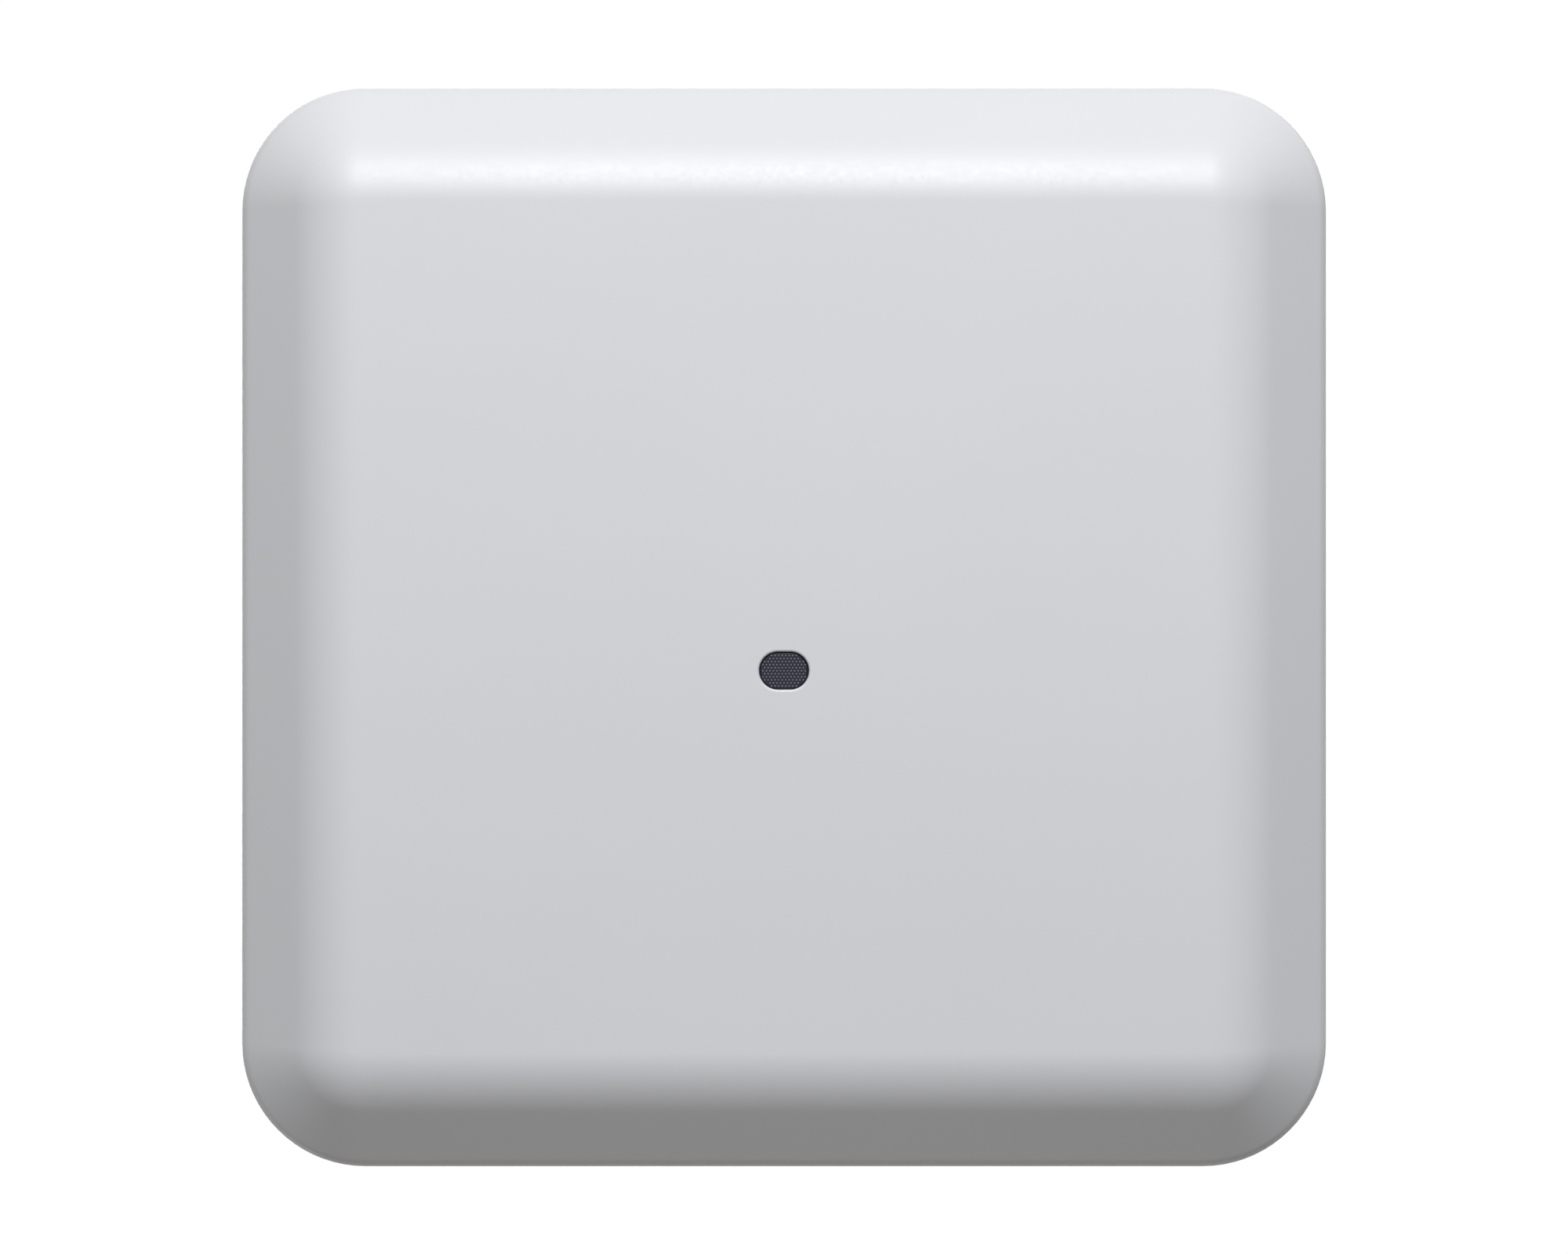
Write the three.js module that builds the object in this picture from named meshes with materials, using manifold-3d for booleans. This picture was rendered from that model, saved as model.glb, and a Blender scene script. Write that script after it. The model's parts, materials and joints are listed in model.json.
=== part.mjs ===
// A square ceiling access point on its ceiling bracket, as separate solid pieces.
//
// Millimetres. +Z points up into the ceiling, and the origin is the centre of the bracket's ceiling
// face. The unit hangs below the bracket with its white face pointing down, and its port bay opens
// towards -Y. The tee bar of a ceiling grid would run along X between the two clips.

import * as THREE from 'three';
import { mergeVertices } from 'three/addons/utils/BufferGeometryUtils.js';
import { LoftGeometry } from 'three/addons/geometries/LoftGeometry.js';
import Module from 'manifold-3d';

const wasm = await Module();
wasm.setup();

// ---------------------------------------------------------------- driving dimensions

const FIT = 0.3; // gap left between pieces that touch or pass through each other
const ROUND = 16; // sides of a round hole or pin
const SMALL_ROUND = 12; // sides of a screw

// Cover: outline, and its edge from the rim to the flat face.
const COVER_WIDTH = 220.4;
const COVER_LENGTH = 219.4;
const COVER_CORNER = 25.5;
const COVER_WALL = 2.5;
const SKIRT_HEIGHT = 9.5;
const SKIRT_DRAFT = THREE.MathUtils.degToRad(3);
const EDGE_RADIUS = 5.1;
const SLOPE_ANGLE = THREE.MathUtils.degToRad(39);
const SLOPE_RUN = 10.3;
const BEND_RADIUS = 19.5;
const CORNER_SEGMENTS = 6;
const SMALLEST_CORNER = 0.5;

// Status window, towards +Y from the middle of the face.
const LENS_WIDTH = 9.4;
const LENS_LENGTH = 7.0;
const LENS_OFFSET = 8.7;
const LENS_RECESS = 0.6;
const LENS_CLEARANCE = 0.25;
const LENS_FLANGE = 1.5;
const LENS_FLANGE_THICKNESS = 1.0;
const LIGHT_PIPE_WIDTH = 7.0;
const LIGHT_PIPE_LENGTH = 5.0;
const LED_SIZE = 3.4;
const LED_HEIGHT = 1.3;

// Bracket: a pressed steel pan whose middle touches the ceiling, with a lower keyhole plate round it.
const SHEET = 1.5;
const PLATE_WIDTH = 160;
const PLATE_LENGTH = 144;
const PLATE_CORNER = 10;
const PAN_WIDTH = 84;
const PAN_LENGTH = 82;
const PAN_CORNER = 9;
const PAN_DEPTH = 6.5;
const PAN_FLANK_RUN = 3;
const RIM_HEIGHT = 3.5;
const RIM_LENGTH = 112;
const NOTCH_WIDTH = 44;
const NOTCH_END_Y = -22;
const NOTCH_CORNER = 5;
const CEILING_SLOT_LENGTH = 11;
const CEILING_SLOT_WIDTH = 5.2;
const CEILING_SLOT_X = 33;
const CEILING_SLOT_Y = 33;

// Mounting studs and their keyholes.
const STUD_X = 62;
const STUD_Y = 52;
const STUD_NECK_RADIUS = 2.4;
const STUD_HEAD_RADIUS = 4.8;
const STUD_HEAD_HEIGHT = 2.0;
const STUD_COLLAR_RADIUS = 5.5;
const STUD_SHANK_RADIUS = 2.0;
const STUD_SHANK_LENGTH = 6.0;
const KEYHOLE_TRAVEL = 10;
const BRACKET_TO_BASE = 2.0;

// Grid clips: a fixed hook and a sliding jaw on each side of a 24 mm tee bar.
const TEE_WIDTH = 24;
const TEE_CLEARANCE = 1.0;
const CLIP_X = 26;
const CLIP_WIDTH = 20;
const CLIP_SHEET = 1.2;
const CLIP_FOOT_LENGTH = 11;
const CLIP_LIP = 5.0;
const CLIP_GRIP = 1.5;
const CLIP_SCREW_SPACING = 11;
const HOOK_WIDTH = 14;
const CLIP_SCREW = { shank: 1.4, head: 2.8, headHeight: 1.8 };
const JAW_TRAVEL = 8;
const JAW_SCREW_Y = -4;
const JAW_TAIL_Y = 9;
const JAW_SCREW = { shank: 1.7, head: 3.6, headHeight: 2.2 };

// Latch spring on the bracket's +Y side.
const LATCH_WIDTH = 12;
const LATCH_SHEET = 0.6;
const LATCH_ROOT_Y = 45;
const LATCH_RIVET_Y = 49.5;
const RIVET = { shank: 1.6, head: 2.8, headHeight: 0.9, tail: 2.5, tailHeight: 0.8 };
const LATCH_BEND_Y = 54;
const LATCH_TOOTH_Y = 62;
const LATCH_TOOTH_WIDTH = 7;
const LATCH_TAB_REACH = 8;
const LATCH_TAB_RISE = 2.4;

// Base: a die-cast tray with a flange, a port bay, bosses and cooling ribs.
const BASE_WALL = 2.5;
const BASE_INSET = 0.8;
const FLANGE_THICKNESS = 3.0;
const FLANGE_CHAMFER = 1.0;
const FLANGE_STEP = 6.0;
const BACK_INSET = 9.5;
const BACK_ROUND = 3.0;
const LIP_HEIGHT = 4.0;
const LIP_WALL = 1.8;
const BOARD_TO_FLANGE = 2.7;
const BAY_LEFT_X = -54;
const BAY_RIGHT_X = 55;
const BAY_DEPTH = 21;
const RIB_COUNT = 4;
const RIB_WIDTH = 1.6;
const RIB_PITCH = 3.6;
const RIB_HEIGHT = 2.4;
const RIB_LENGTH = 150;
const COVER_SCREW_INSET = 23.7;
const COVER_SCREW = { shank: 1.4, head: 2.8, headHeight: 2.2 };
const COVER_BOSS_RADIUS = 4.0;
const COVER_BOSS_BORE = 11;
const BASE_BOSS_RADIUS = 5.2;
const COUNTERBORE_RADIUS = 3.7;
const COUNTERBORE_FLOOR = 4.5;
const CATCH_LENGTH = 6;
const CATCH_DEPTH = 1.2;
const LOCK_SLOT_LENGTH = 7;
const LOCK_SLOT_WIDTH = 3;
const LOCK_SLOT_Y = 40;

// Seal between base and cover.
const GASKET_THICKNESS = 1.0;
const GASKET_WIDTH = 1.3;
const GASKET_INSET = 1.0;

// Main board and what it carries.
const BOARD_THICKNESS = 1.6;
const BOARD_MARGIN = 16;
const BOARD_SCREW_INSET_X = 30;
const BOARD_SCREW_FROM_BAY = 52;
const BOARD_SCREW_FROM_END = 34;
const BOARD_BOSS_RADIUS = 3.6;
const BOARD_SCREW = { shank: 1.2, head: 2.6, headHeight: 1.8 };
const BOARD_SCREW_BITE = 6;
const BOARD_CORNER = 3;
const CHIPS = [
  { x: 0, y: 6, width: 26, length: 26, height: 2.2 }, // processor
  { x: -46, y: 34, width: 16, length: 16, height: 1.6 }, // left radio
  { x: 46, y: 34, width: 16, length: 16, height: 1.6 }, // right radio
];
const POWER_PARTS = [
  { x: -41, gap: 16, width: 22, length: 18, height: 8.5 }, // power transformer, gap behind the jacks
  { x: -14, gap: 16, width: 16, length: 14, height: 6.5 }, // first network magnetics
  { x: 14, gap: 16, width: 16, length: 14, height: 5.5 }, // second network magnetics
];
const CAPACITOR = { radius: 4, height: 9, gap: 22, places: [36, 47] };
const SHIELDS = [
  { name: 'processor', x: 0, y: 6, width: 48, length: 46 },
  { name: 'radio_left', x: -46, y: 34, width: 32, length: 42 },
  { name: 'radio_right', x: 46, y: 34, width: 32, length: 42 },
];
const SHIELD_SHEET = 0.5;
const SHIELD_HEIGHT = 5.0;
const SHIELD_CORNER = 1.5;
const THERMAL_PAD_THICKNESS = 0.8;
const THERMAL_PAD_MARGIN = 4;

// Sockets in the port bay, from -X to +X.
const NETWORK_JACK = { width: 16.3, height: 13.5, depth: 21, mouthWidth: 11.9, mouthHeight: 8.2, mouthDepth: 14 };
const NETWORK_JACK_PITCH = 20;
const FIRST_JACK_X = -40;
const USB_SOCKET = { width: 14.4, height: 7.2, depth: 14, mouthWidth: 12.5, mouthHeight: 5.2, mouthDepth: 12 };
const USB_X = 19.5;
const POWER_JACK = { width: 9.4, height: 11, depth: 14, mouthRadius: 3.1, mouthDepth: 10 };
const POWER_X = 34.5;
const JACK_HEADROOM = 1.9;
const JACK_PROUD = 0.5;
const WINDOW_GAP = 0.4;

// Mode button.
const BUTTON_X = 46.5;
const BUTTON_RADIUS = 2.3;
const BUTTON_PROUD = 1.2;
const BUTTON_COLLAR = 1.1;
const BUTTON_STEM = 3.6;
const BUTTON_TRAVEL = 0.8;
const BUTTON_RISE = 4.5;
const SWITCH_SIZE = 6.2;
const SWITCH_DEPTH = 3.6;

// Antennas.
const REFLECTOR_SHEET = 0.8;
const REFLECTOR_MARGIN = 36.7;
const REFLECTOR_CORNER = 8;
const REFLECTOR_STANDOFF = 8;
const REFLECTOR_FOOT = 11;
const REFLECTOR_FOOT_WIDTH = 12;
const ANTENNA_EDGE = 19;
const ANTENNA_SHEET = 0.6;
const ANTENNA_HEIGHT = 11;
const ANTENNA_WIDTH = 12;
const ANTENNA_ARM = 26;
const ANTENNA_FOOT = 6;
const ANTENNA_SLOT_END = 5;
const SCANNER = { width: 44, length: 9, thickness: 0.8, corner: 1 };
const LEAD_RADIUS = 0.7;
const LEAD_PLUG_RADIUS = 1.5;
const LEAD_PLUG_HEIGHT = 1.4;

const LABEL = { width: 66, length: 13, thickness: 0.2, corner: 1.5, margin: 21 };

// ---------------------------------------------------------------- sizes that follow

const edgeRun = EDGE_RADIUS * (Math.cos(SKIRT_DRAFT) - Math.sin(SLOPE_ANGLE));
const edgeDrop = EDGE_RADIUS * (Math.cos(SLOPE_ANGLE) - Math.sin(SKIRT_DRAFT));
const skirtRun = SKIRT_HEIGHT * Math.tan(SKIRT_DRAFT);
const slopeDrop = SLOPE_RUN * Math.tan(SLOPE_ANGLE);
const bendRun = BEND_RADIUS * Math.sin(SLOPE_ANGLE);
const bendDrop = BEND_RADIUS * (1 - Math.cos(SLOPE_ANGLE));
const coverHeight = SKIRT_HEIGHT + edgeDrop + slopeDrop + bendDrop;
const borderWidth = skirtRun + edgeRun + SLOPE_RUN + bendRun;

const keyholeTopZ = -PAN_DEPTH;
const keyholeBottomZ = keyholeTopZ - SHEET;
const backZ = keyholeBottomZ - BRACKET_TO_BASE;
const trayFloorZ = backZ - BASE_WALL;
const boardBackZ = trayFloorZ - JACK_HEADROOM - NETWORK_JACK.height - FIT;
const boardFrontZ = boardBackZ - BOARD_THICKNESS;
const flangeZ = boardFrontZ - BOARD_TO_FLANGE;
const gasketZ = flangeZ - FIT;
const coverRimZ = gasketZ - GASKET_THICKNESS - FIT;
const faceZ = coverRimZ - coverHeight;
const faceInnerZ = faceZ + COVER_WALL;

const halfWidth = COVER_WIDTH / 2;
const halfLength = COVER_LENGTH / 2;
const cavityRimInset = FLANGE_STEP + BASE_WALL;
const cavityFloorInset = BACK_INSET + BASE_WALL;
const bayWallY = -halfLength + BAY_DEPTH;
const bayFloorZ = flangeZ + FLANGE_THICKNESS;
const jackFrontY = bayWallY - JACK_PROUD;
const jackBottomZ = boardBackZ + FIT;
const boardEdgeY = bayWallY + BASE_WALL + FIT;
const boardHalfWidth = halfWidth - BOARD_MARGIN;
const boardEndY = halfLength - BOARD_MARGIN;
const boardScrewX = halfWidth - BOARD_SCREW_INSET_X;
const boardScrewLowY = boardEdgeY + BOARD_SCREW_FROM_BAY;
const boardScrewHighY = boardEndY - BOARD_SCREW_FROM_END;
const jackEndY = jackFrontY + NETWORK_JACK.depth;
const reflectorZ = boardFrontZ - REFLECTOR_STANDOFF;
const reflectorFrontZ = reflectorZ - REFLECTOR_SHEET;
const reflectorHalfWidth = boardScrewX - REFLECTOR_FOOT / 2;
const reflectorHalfLength = halfLength - REFLECTOR_MARGIN;
const antennaX = reflectorHalfWidth - ANTENNA_EDGE;
const antennaY = reflectorHalfLength - ANTENNA_EDGE;
const coverBossZ = flangeZ - 2 * FIT;

const teeEdge = TEE_WIDTH / 2 + TEE_CLEARANCE;
const strapTopZ = -SHEET - FIT;
const strapBottomZ = strapTopZ - CLIP_SHEET;
const jawTopZ = strapBottomZ - FIT;
const jawBottomZ = jawTopZ - CLIP_SHEET;
const lipTopZ = CLIP_GRIP + CLIP_SHEET;
const clipScrewY = teeEdge + CLIP_SHEET + CLIP_FOOT_LENGTH / 2;

// ---------------------------------------------------------------- geometry helpers

function solid(geometry) {
  const bare = new THREE.BufferGeometry();
  bare.setAttribute('position', geometry.getAttribute('position'));
  bare.setIndex(geometry.getIndex());
  const merged = mergeVertices(bare, 1e-4);
  return new wasm.Manifold(new wasm.Mesh({
    numProp: 3,
    vertProperties: new Float32Array(merged.attributes.position.array),
    triVerts: new Uint32Array(merged.index.array),
  }));
}

function geometryOf(made) {
  const mesh = made.getMesh();
  const geometry = new THREE.BufferGeometry();
  geometry.setAttribute('position', new THREE.BufferAttribute(new Float32Array(mesh.vertProperties), 3));
  geometry.setIndex(new THREE.BufferAttribute(new Uint32Array(mesh.triVerts), 1));
  geometry.computeVertexNormals();
  return geometry;
}

const join = (...pieces) => pieces.reduce((whole, piece) => whole.add(piece));
const cut = (whole, ...pieces) => pieces.reduce((left, piece) => left.subtract(piece), whole);

function block(lowX, highX, lowY, highY, lowZ, highZ) {
  const box = new THREE.BoxGeometry(highX - lowX, highY - lowY, highZ - lowZ);
  return solid(box.translate((lowX + highX) / 2, (lowY + highY) / 2, (lowZ + highZ) / 2));
}

function roundedOutline(width, length, corner, x = 0, y = 0) {
  const shape = new THREE.Shape();
  const dx = width / 2 - corner;
  const dy = length / 2 - corner;
  shape.absarc(x + dx, y + dy, corner, 0, Math.PI / 2);
  shape.absarc(x - dx, y + dy, corner, Math.PI / 2, Math.PI);
  shape.absarc(x - dx, y - dy, corner, Math.PI, Math.PI * 1.5);
  shape.absarc(x + dx, y - dy, corner, Math.PI * 1.5, Math.PI * 2);
  shape.closePath();
  return shape;
}

function extruded(shape, lowZ, highZ, curveSegments = 2) {
  const options = { depth: highZ - lowZ, bevelEnabled: false, curveSegments };
  return solid(new THREE.ExtrudeGeometry(shape, options).translate(0, 0, lowZ));
}

function slab(width, length, corner, lowZ, highZ, x = 0, y = 0) {
  return extruded(roundedOutline(width, length, corner, x, y), lowZ, highZ);
}

// A slot with round ends, along X where it is wider and along Y where it is longer.
function obround(width, length, lowZ, highZ, x = 0, y = 0) {
  const corner = Math.min(width, length) / 2 - 0.01;
  return extruded(roundedOutline(width, length, corner, x, y), lowZ, highZ, 3);
}

function pillar(radius, lowZ, highZ, x, y, sides = ROUND) {
  const rod = new THREE.CylinderGeometry(radius, radius, highZ - lowZ, sides).rotateX(Math.PI / 2);
  return solid(rod.translate(x, y, (lowZ + highZ) / 2));
}

function barAlongY(radius, lowY, highY, x, z, sides = ROUND) {
  const rod = new THREE.CylinderGeometry(radius, radius, highY - lowY, sides);
  return solid(rod.translate(x, (lowY + highY) / 2, z));
}

// A turned piece on the Z axis, from [radius, z] pairs that start and end on the axis, low z first.
function turned(profile, x, y, sides) {
  const points = profile.map(([radius, z]) => new THREE.Vector2(radius, z));
  return solid(new THREE.LatheGeometry(points, sides).rotateX(Math.PI / 2).translate(x, y, 0));
}

// One level of the rounded square outline, stepped in from the cover's outline by inset.
function outlineRing(inset, z) {
  const corner = Math.max(COVER_CORNER - inset, SMALLEST_CORNER);
  const centreX = halfWidth - inset - corner;
  const centreY = halfLength - inset - corner;
  const points = [];
  for (let quarter = 0; quarter < 4; quarter += 1) {
    const signX = quarter === 0 || quarter === 3 ? 1 : -1;
    const signY = quarter < 2 ? 1 : -1;
    for (let step = 0; step <= CORNER_SEGMENTS; step += 1) {
      const angle = (quarter + step / CORNER_SEGMENTS) * Math.PI / 2;
      points.push(new THREE.Vector3(
        signX * centreX + corner * Math.cos(angle),
        signY * centreY + corner * Math.sin(angle),
        z,
      ));
    }
  }
  return points;
}

// A solid through [inset, z] levels of the outline, low z first.
function lofted(levels) {
  const rings = levels.map(([inset, z]) => outlineRing(inset, z));
  return solid(new LoftGeometry(rings, { capStart: true, capEnd: true }));
}

function panLoft(shrink, drop, lowZ) {
  const ring = (run, z) => {
    const outline = roundedOutline(PAN_WIDTH + 2 * (run - shrink), PAN_LENGTH + 2 * (run - shrink), PAN_CORNER);
    return outline.getPoints(4).slice(0, -1).map((point) => new THREE.Vector3(point.x, point.y, z));
  };
  const rings = [ring(PAN_FLANK_RUN, lowZ), ring(PAN_FLANK_RUN, keyholeTopZ - drop), ring(0, -drop)];
  return solid(new LoftGeometry(rings, { capStart: true, capEnd: true }));
}

const corners = [[1, 1], [-1, 1], [-1, -1], [1, -1]];

// ---------------------------------------------------------------- finishes and the group

function finish(color, roughness, metalness) {
  return new THREE.MeshStandardMaterial({ color, roughness, metalness });
}

const coverPlastic = finish(0xdcdde0, 0.5, 0);
const smokedPlastic = finish(0x3d4450, 0.2, 0);
const clearPlastic = finish(0xe4ecef, 0.1, 0);
const castMetal = finish(0x9ea0a2, 0.55, 0.7);
const zincSteel = finish(0xb6babd, 0.38, 1);
const springSteel = finish(0x8f9498, 0.3, 1);
const screwSteel = finish(0xa6a9ab, 0.32, 1);
const blackRubber = finish(0x2b2c2e, 0.85, 0);
const greenBoard = finish(0x1f5a3a, 0.6, 0);
const tinPlate = finish(0xc3c6c8, 0.35, 1);
const padSilicone = finish(0x8aa0b4, 0.9, 0);
const blackPlastic = finish(0x1d1e20, 0.5, 0);
const copperAlloy = finish(0xb98a58, 0.4, 1);
const leadJacket = finish(0x2a2b2d, 0.6, 0);
const labelFilm = finish(0xe9e9e6, 0.6, 0);

const accessPoint = new THREE.Group();

function place(name, shape, material, parent = accessPoint) {
  const mesh = new THREE.Mesh(geometryOf(shape), material);
  mesh.name = name;
  parent.add(mesh);
}

// A pan head screw of the given size, from its point at tipZ to the seat of its head at headZ.
function panScrew(x, y, headZ, tipZ, { shank, head, headHeight }) {
  const away = Math.sign(headZ - tipZ);
  const profile = [
    [0, tipZ],
    [shank * 0.6, tipZ],
    [shank, tipZ + away * shank],
    [shank, headZ],
    [head, headZ],
    [head, headZ + away * headHeight * 0.6],
    [head * 0.7, headZ + away * headHeight],
    [0, headZ + away * headHeight],
  ];
  return turned(away > 0 ? profile : profile.reverse(), x, y, SMALL_ROUND);
}

// ---------------------------------------------------------------- bracket, clips and latch

function buildBracket() {
  const plate = slab(PLATE_WIDTH, PLATE_LENGTH, PLATE_CORNER, keyholeBottomZ, keyholeTopZ);
  const rims = [-1, 1].map((side) => {
    const edge = side * PLATE_WIDTH / 2;
    const inner = edge - side * SHEET;
    return block(Math.min(edge, inner), Math.max(edge, inner), -RIM_LENGTH / 2, RIM_LENGTH / 2,
      keyholeBottomZ, keyholeTopZ + RIM_HEIGHT);
  });
  const blank = join(plate, panLoft(0, 0, keyholeBottomZ), ...rims);
  const cuts = [panLoft(SHEET, SHEET, keyholeBottomZ - 1)];
  const notchTop = -NOTCH_WIDTH + NOTCH_END_Y;
  cuts.push(slab(NOTCH_WIDTH, NOTCH_WIDTH * 2, NOTCH_CORNER, keyholeBottomZ - 1, 1, 0, notchTop));
  for (const [signX, signY] of corners) {
    const x = signX * STUD_X;
    const y = signY * STUD_Y;
    const neck = STUD_NECK_RADIUS + FIT;
    cuts.push(obround(2 * neck, KEYHOLE_TRAVEL + 2 * neck, keyholeBottomZ - 1, keyholeTopZ + 1,
      x, y + KEYHOLE_TRAVEL / 2));
    cuts.push(pillar(STUD_HEAD_RADIUS + 2 * FIT, keyholeBottomZ - 1, keyholeTopZ + 1, x, y + KEYHOLE_TRAVEL));
    cuts.push(obround(CEILING_SLOT_LENGTH, CEILING_SLOT_WIDTH, -SHEET - 1, 1,
      signX * CEILING_SLOT_X, signY * CEILING_SLOT_Y));
  }
  for (const side of [-1, 1]) {
    cuts.push(...clipCuts(side * CLIP_X));
  }
  cuts.push(block(-LATCH_TOOTH_WIDTH / 2 - 1, LATCH_TOOTH_WIDTH / 2 + 1,
    LATCH_TOOTH_Y - 1, LATCH_TOOTH_Y + LATCH_SHEET + 2, keyholeBottomZ - 1, keyholeTopZ + 1));
  cuts.push(pillar(RIVET.shank + FIT, keyholeBottomZ - 1, keyholeTopZ + 1, 0, LATCH_RIVET_Y, SMALL_ROUND));
  place('mounting_bracket', cut(blank, ...cuts), zincSteel);
}

// The openings in the ceiling plate for one clip's hook, jaw and screws.
function clipCuts(x) {
  const halfHook = HOOK_WIDTH / 2 + FIT;
  const cuts = [
    block(x - halfHook, x + halfHook, teeEdge - FIT, teeEdge + CLIP_SHEET + FIT, -SHEET - 1, 1),
    block(x - halfHook, x + halfHook, -teeEdge - CLIP_SHEET - JAW_TRAVEL - FIT, -teeEdge + FIT, -SHEET - 1, 1),
  ];
  for (const side of [-1, 1]) {
    const screwX = x + side * CLIP_SCREW_SPACING / 2;
    cuts.push(pillar(CLIP_SCREW.shank + FIT, -SHEET - 1, 1, screwX, clipScrewY, SMALL_ROUND));
  }
  return cuts;
}

// The upright and lip that reach over one edge of the tee bar. side is +1 or -1 along Y.
function hook(x, side, footZ) {
  const wall = [side * teeEdge, side * (teeEdge + CLIP_SHEET)];
  const lip = [side * (teeEdge - CLIP_LIP), side * (teeEdge + CLIP_SHEET)];
  return join(
    block(x - HOOK_WIDTH / 2, x + HOOK_WIDTH / 2, Math.min(...wall), Math.max(...wall), footZ, lipTopZ),
    block(x - HOOK_WIDTH / 2, x + HOOK_WIDTH / 2, Math.min(...lip), Math.max(...lip), CLIP_GRIP, lipTopZ),
  );
}

function buildGridClip(name, x) {
  const strapEndY = teeEdge + CLIP_SHEET + CLIP_FOOT_LENGTH;
  const strap = block(x - CLIP_WIDTH / 2, x + CLIP_WIDTH / 2, -teeEdge + 2 * FIT, strapEndY, strapBottomZ, strapTopZ);
  const holes = [pillar(JAW_SCREW.shank + FIT, strapBottomZ - 1, strapTopZ + 1, x, JAW_SCREW_Y, SMALL_ROUND)];
  for (const side of [-1, 1]) {
    const screwX = x + side * CLIP_SCREW_SPACING / 2;
    holes.push(pillar(CLIP_SCREW.shank + FIT, strapBottomZ - 1, strapTopZ + 1, screwX, clipScrewY, SMALL_ROUND));
    const screwName = `clip_screw_${name}_${side < 0 ? 'a' : 'b'}`;
    place(screwName, panScrew(screwX, clipScrewY, strapBottomZ - FIT, -FIT, CLIP_SCREW), screwSteel);
  }
  place(`grid_clip_${name}`, cut(join(strap, hook(x, 1, strapBottomZ)), ...holes), zincSteel);

  const halfHook = HOOK_WIDTH / 2;
  const tongue = block(x - halfHook, x + halfHook, -teeEdge - CLIP_SHEET, JAW_TAIL_Y, jawBottomZ, jawTopZ);
  const slotLow = JAW_SCREW_Y - JAW_SCREW.shank - FIT;
  const slotHigh = JAW_SCREW_Y + JAW_TRAVEL + JAW_SCREW.shank + FIT;
  const slot = obround(2 * (JAW_SCREW.shank + FIT), slotHigh - slotLow, jawBottomZ - 1, jawTopZ + 1,
    x, (slotLow + slotHigh) / 2);
  place(`clip_jaw_${name}`, cut(join(tongue, hook(x, -1, jawBottomZ)), slot), zincSteel);
  place(`jaw_screw_${name}`, panScrew(x, JAW_SCREW_Y, jawBottomZ - FIT, -SHEET - FIT / 2, JAW_SCREW), screwSteel);
}

function buildLatch() {
  const lowZ = keyholeTopZ + FIT;
  const highZ = lowZ + LATCH_SHEET;
  const half = LATCH_WIDTH / 2;
  const foot = cut(
    block(-half, half, LATCH_ROOT_Y, LATCH_BEND_Y - FIT / 2, lowZ, highZ),
    pillar(RIVET.shank + FIT, lowZ - 1, highZ + 1, 0, LATCH_RIVET_Y, SMALL_ROUND),
  );
  place('latch_spring_foot', foot, springSteel);

  const plateEdgeY = PLATE_LENGTH / 2;
  const tabEndY = plateEdgeY + LATCH_TAB_REACH;
  const toothZ = backZ + FIT + 0.1;
  const tooth = block(-LATCH_TOOTH_WIDTH / 2, LATCH_TOOTH_WIDTH / 2,
    LATCH_TOOTH_Y, LATCH_TOOTH_Y + LATCH_SHEET, toothZ, highZ);
  const strip = block(-half, half, LATCH_BEND_Y + FIT / 2, plateEdgeY + 1, lowZ, highZ);
  const side = new THREE.Shape([
    new THREE.Vector2(plateEdgeY, lowZ),
    new THREE.Vector2(tabEndY, lowZ + LATCH_TAB_RISE),
    new THREE.Vector2(tabEndY, highZ + LATCH_TAB_RISE),
    new THREE.Vector2(plateEdgeY, highZ),
  ]);
  const tab = new THREE.ExtrudeGeometry(side, { depth: LATCH_WIDTH, bevelEnabled: false });
  tab.rotateX(Math.PI / 2).rotateZ(Math.PI / 2).translate(-half, 0, 0);
  place('latch_spring_blade', join(strip, tooth, solid(tab)), springSteel);

  const tailZ = keyholeBottomZ - FIT;
  const headZ = highZ + FIT;
  const rivet = [
    [0, tailZ - RIVET.tailHeight],
    [RIVET.tail * 0.9, tailZ - RIVET.tailHeight],
    [RIVET.tail, tailZ],
    [RIVET.shank, tailZ],
    [RIVET.shank, headZ],
    [RIVET.head, headZ],
    [RIVET.head * 0.85, headZ + RIVET.headHeight],
    [0, headZ + RIVET.headHeight],
  ];
  place('latch_rivet', turned(rivet, 0, LATCH_RIVET_Y, SMALL_ROUND), screwSteel);
}

// ---------------------------------------------------------------- cover and status window

// [inset, z] levels of the cover's surface, moved into its wall by depth, face first.
function coverLevels(depth) {
  const levels = [];
  const add = (inset, z, angle) => levels.push([
    inset + depth * Math.sin(angle),
    z + depth * Math.cos(angle),
  ]);
  const bendSteps = 4;
  for (let step = 0; step <= bendSteps; step += 1) {
    const angle = SLOPE_ANGLE * step / bendSteps;
    add(borderWidth - BEND_RADIUS * Math.sin(angle), faceZ + BEND_RADIUS * (1 - Math.cos(angle)), angle);
  }
  const edgeSteps = 3;
  const steepest = Math.PI / 2 - SKIRT_DRAFT;
  for (let step = 0; step <= edgeSteps; step += 1) {
    const angle = SLOPE_ANGLE + (steepest - SLOPE_ANGLE) * step / edgeSteps;
    add(
      skirtRun + EDGE_RADIUS * (Math.cos(SKIRT_DRAFT) - Math.sin(angle)),
      coverRimZ - SKIRT_HEIGHT - EDGE_RADIUS * (Math.cos(angle) - Math.sin(SKIRT_DRAFT)),
      angle,
    );
  }
  return levels;
}

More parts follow.
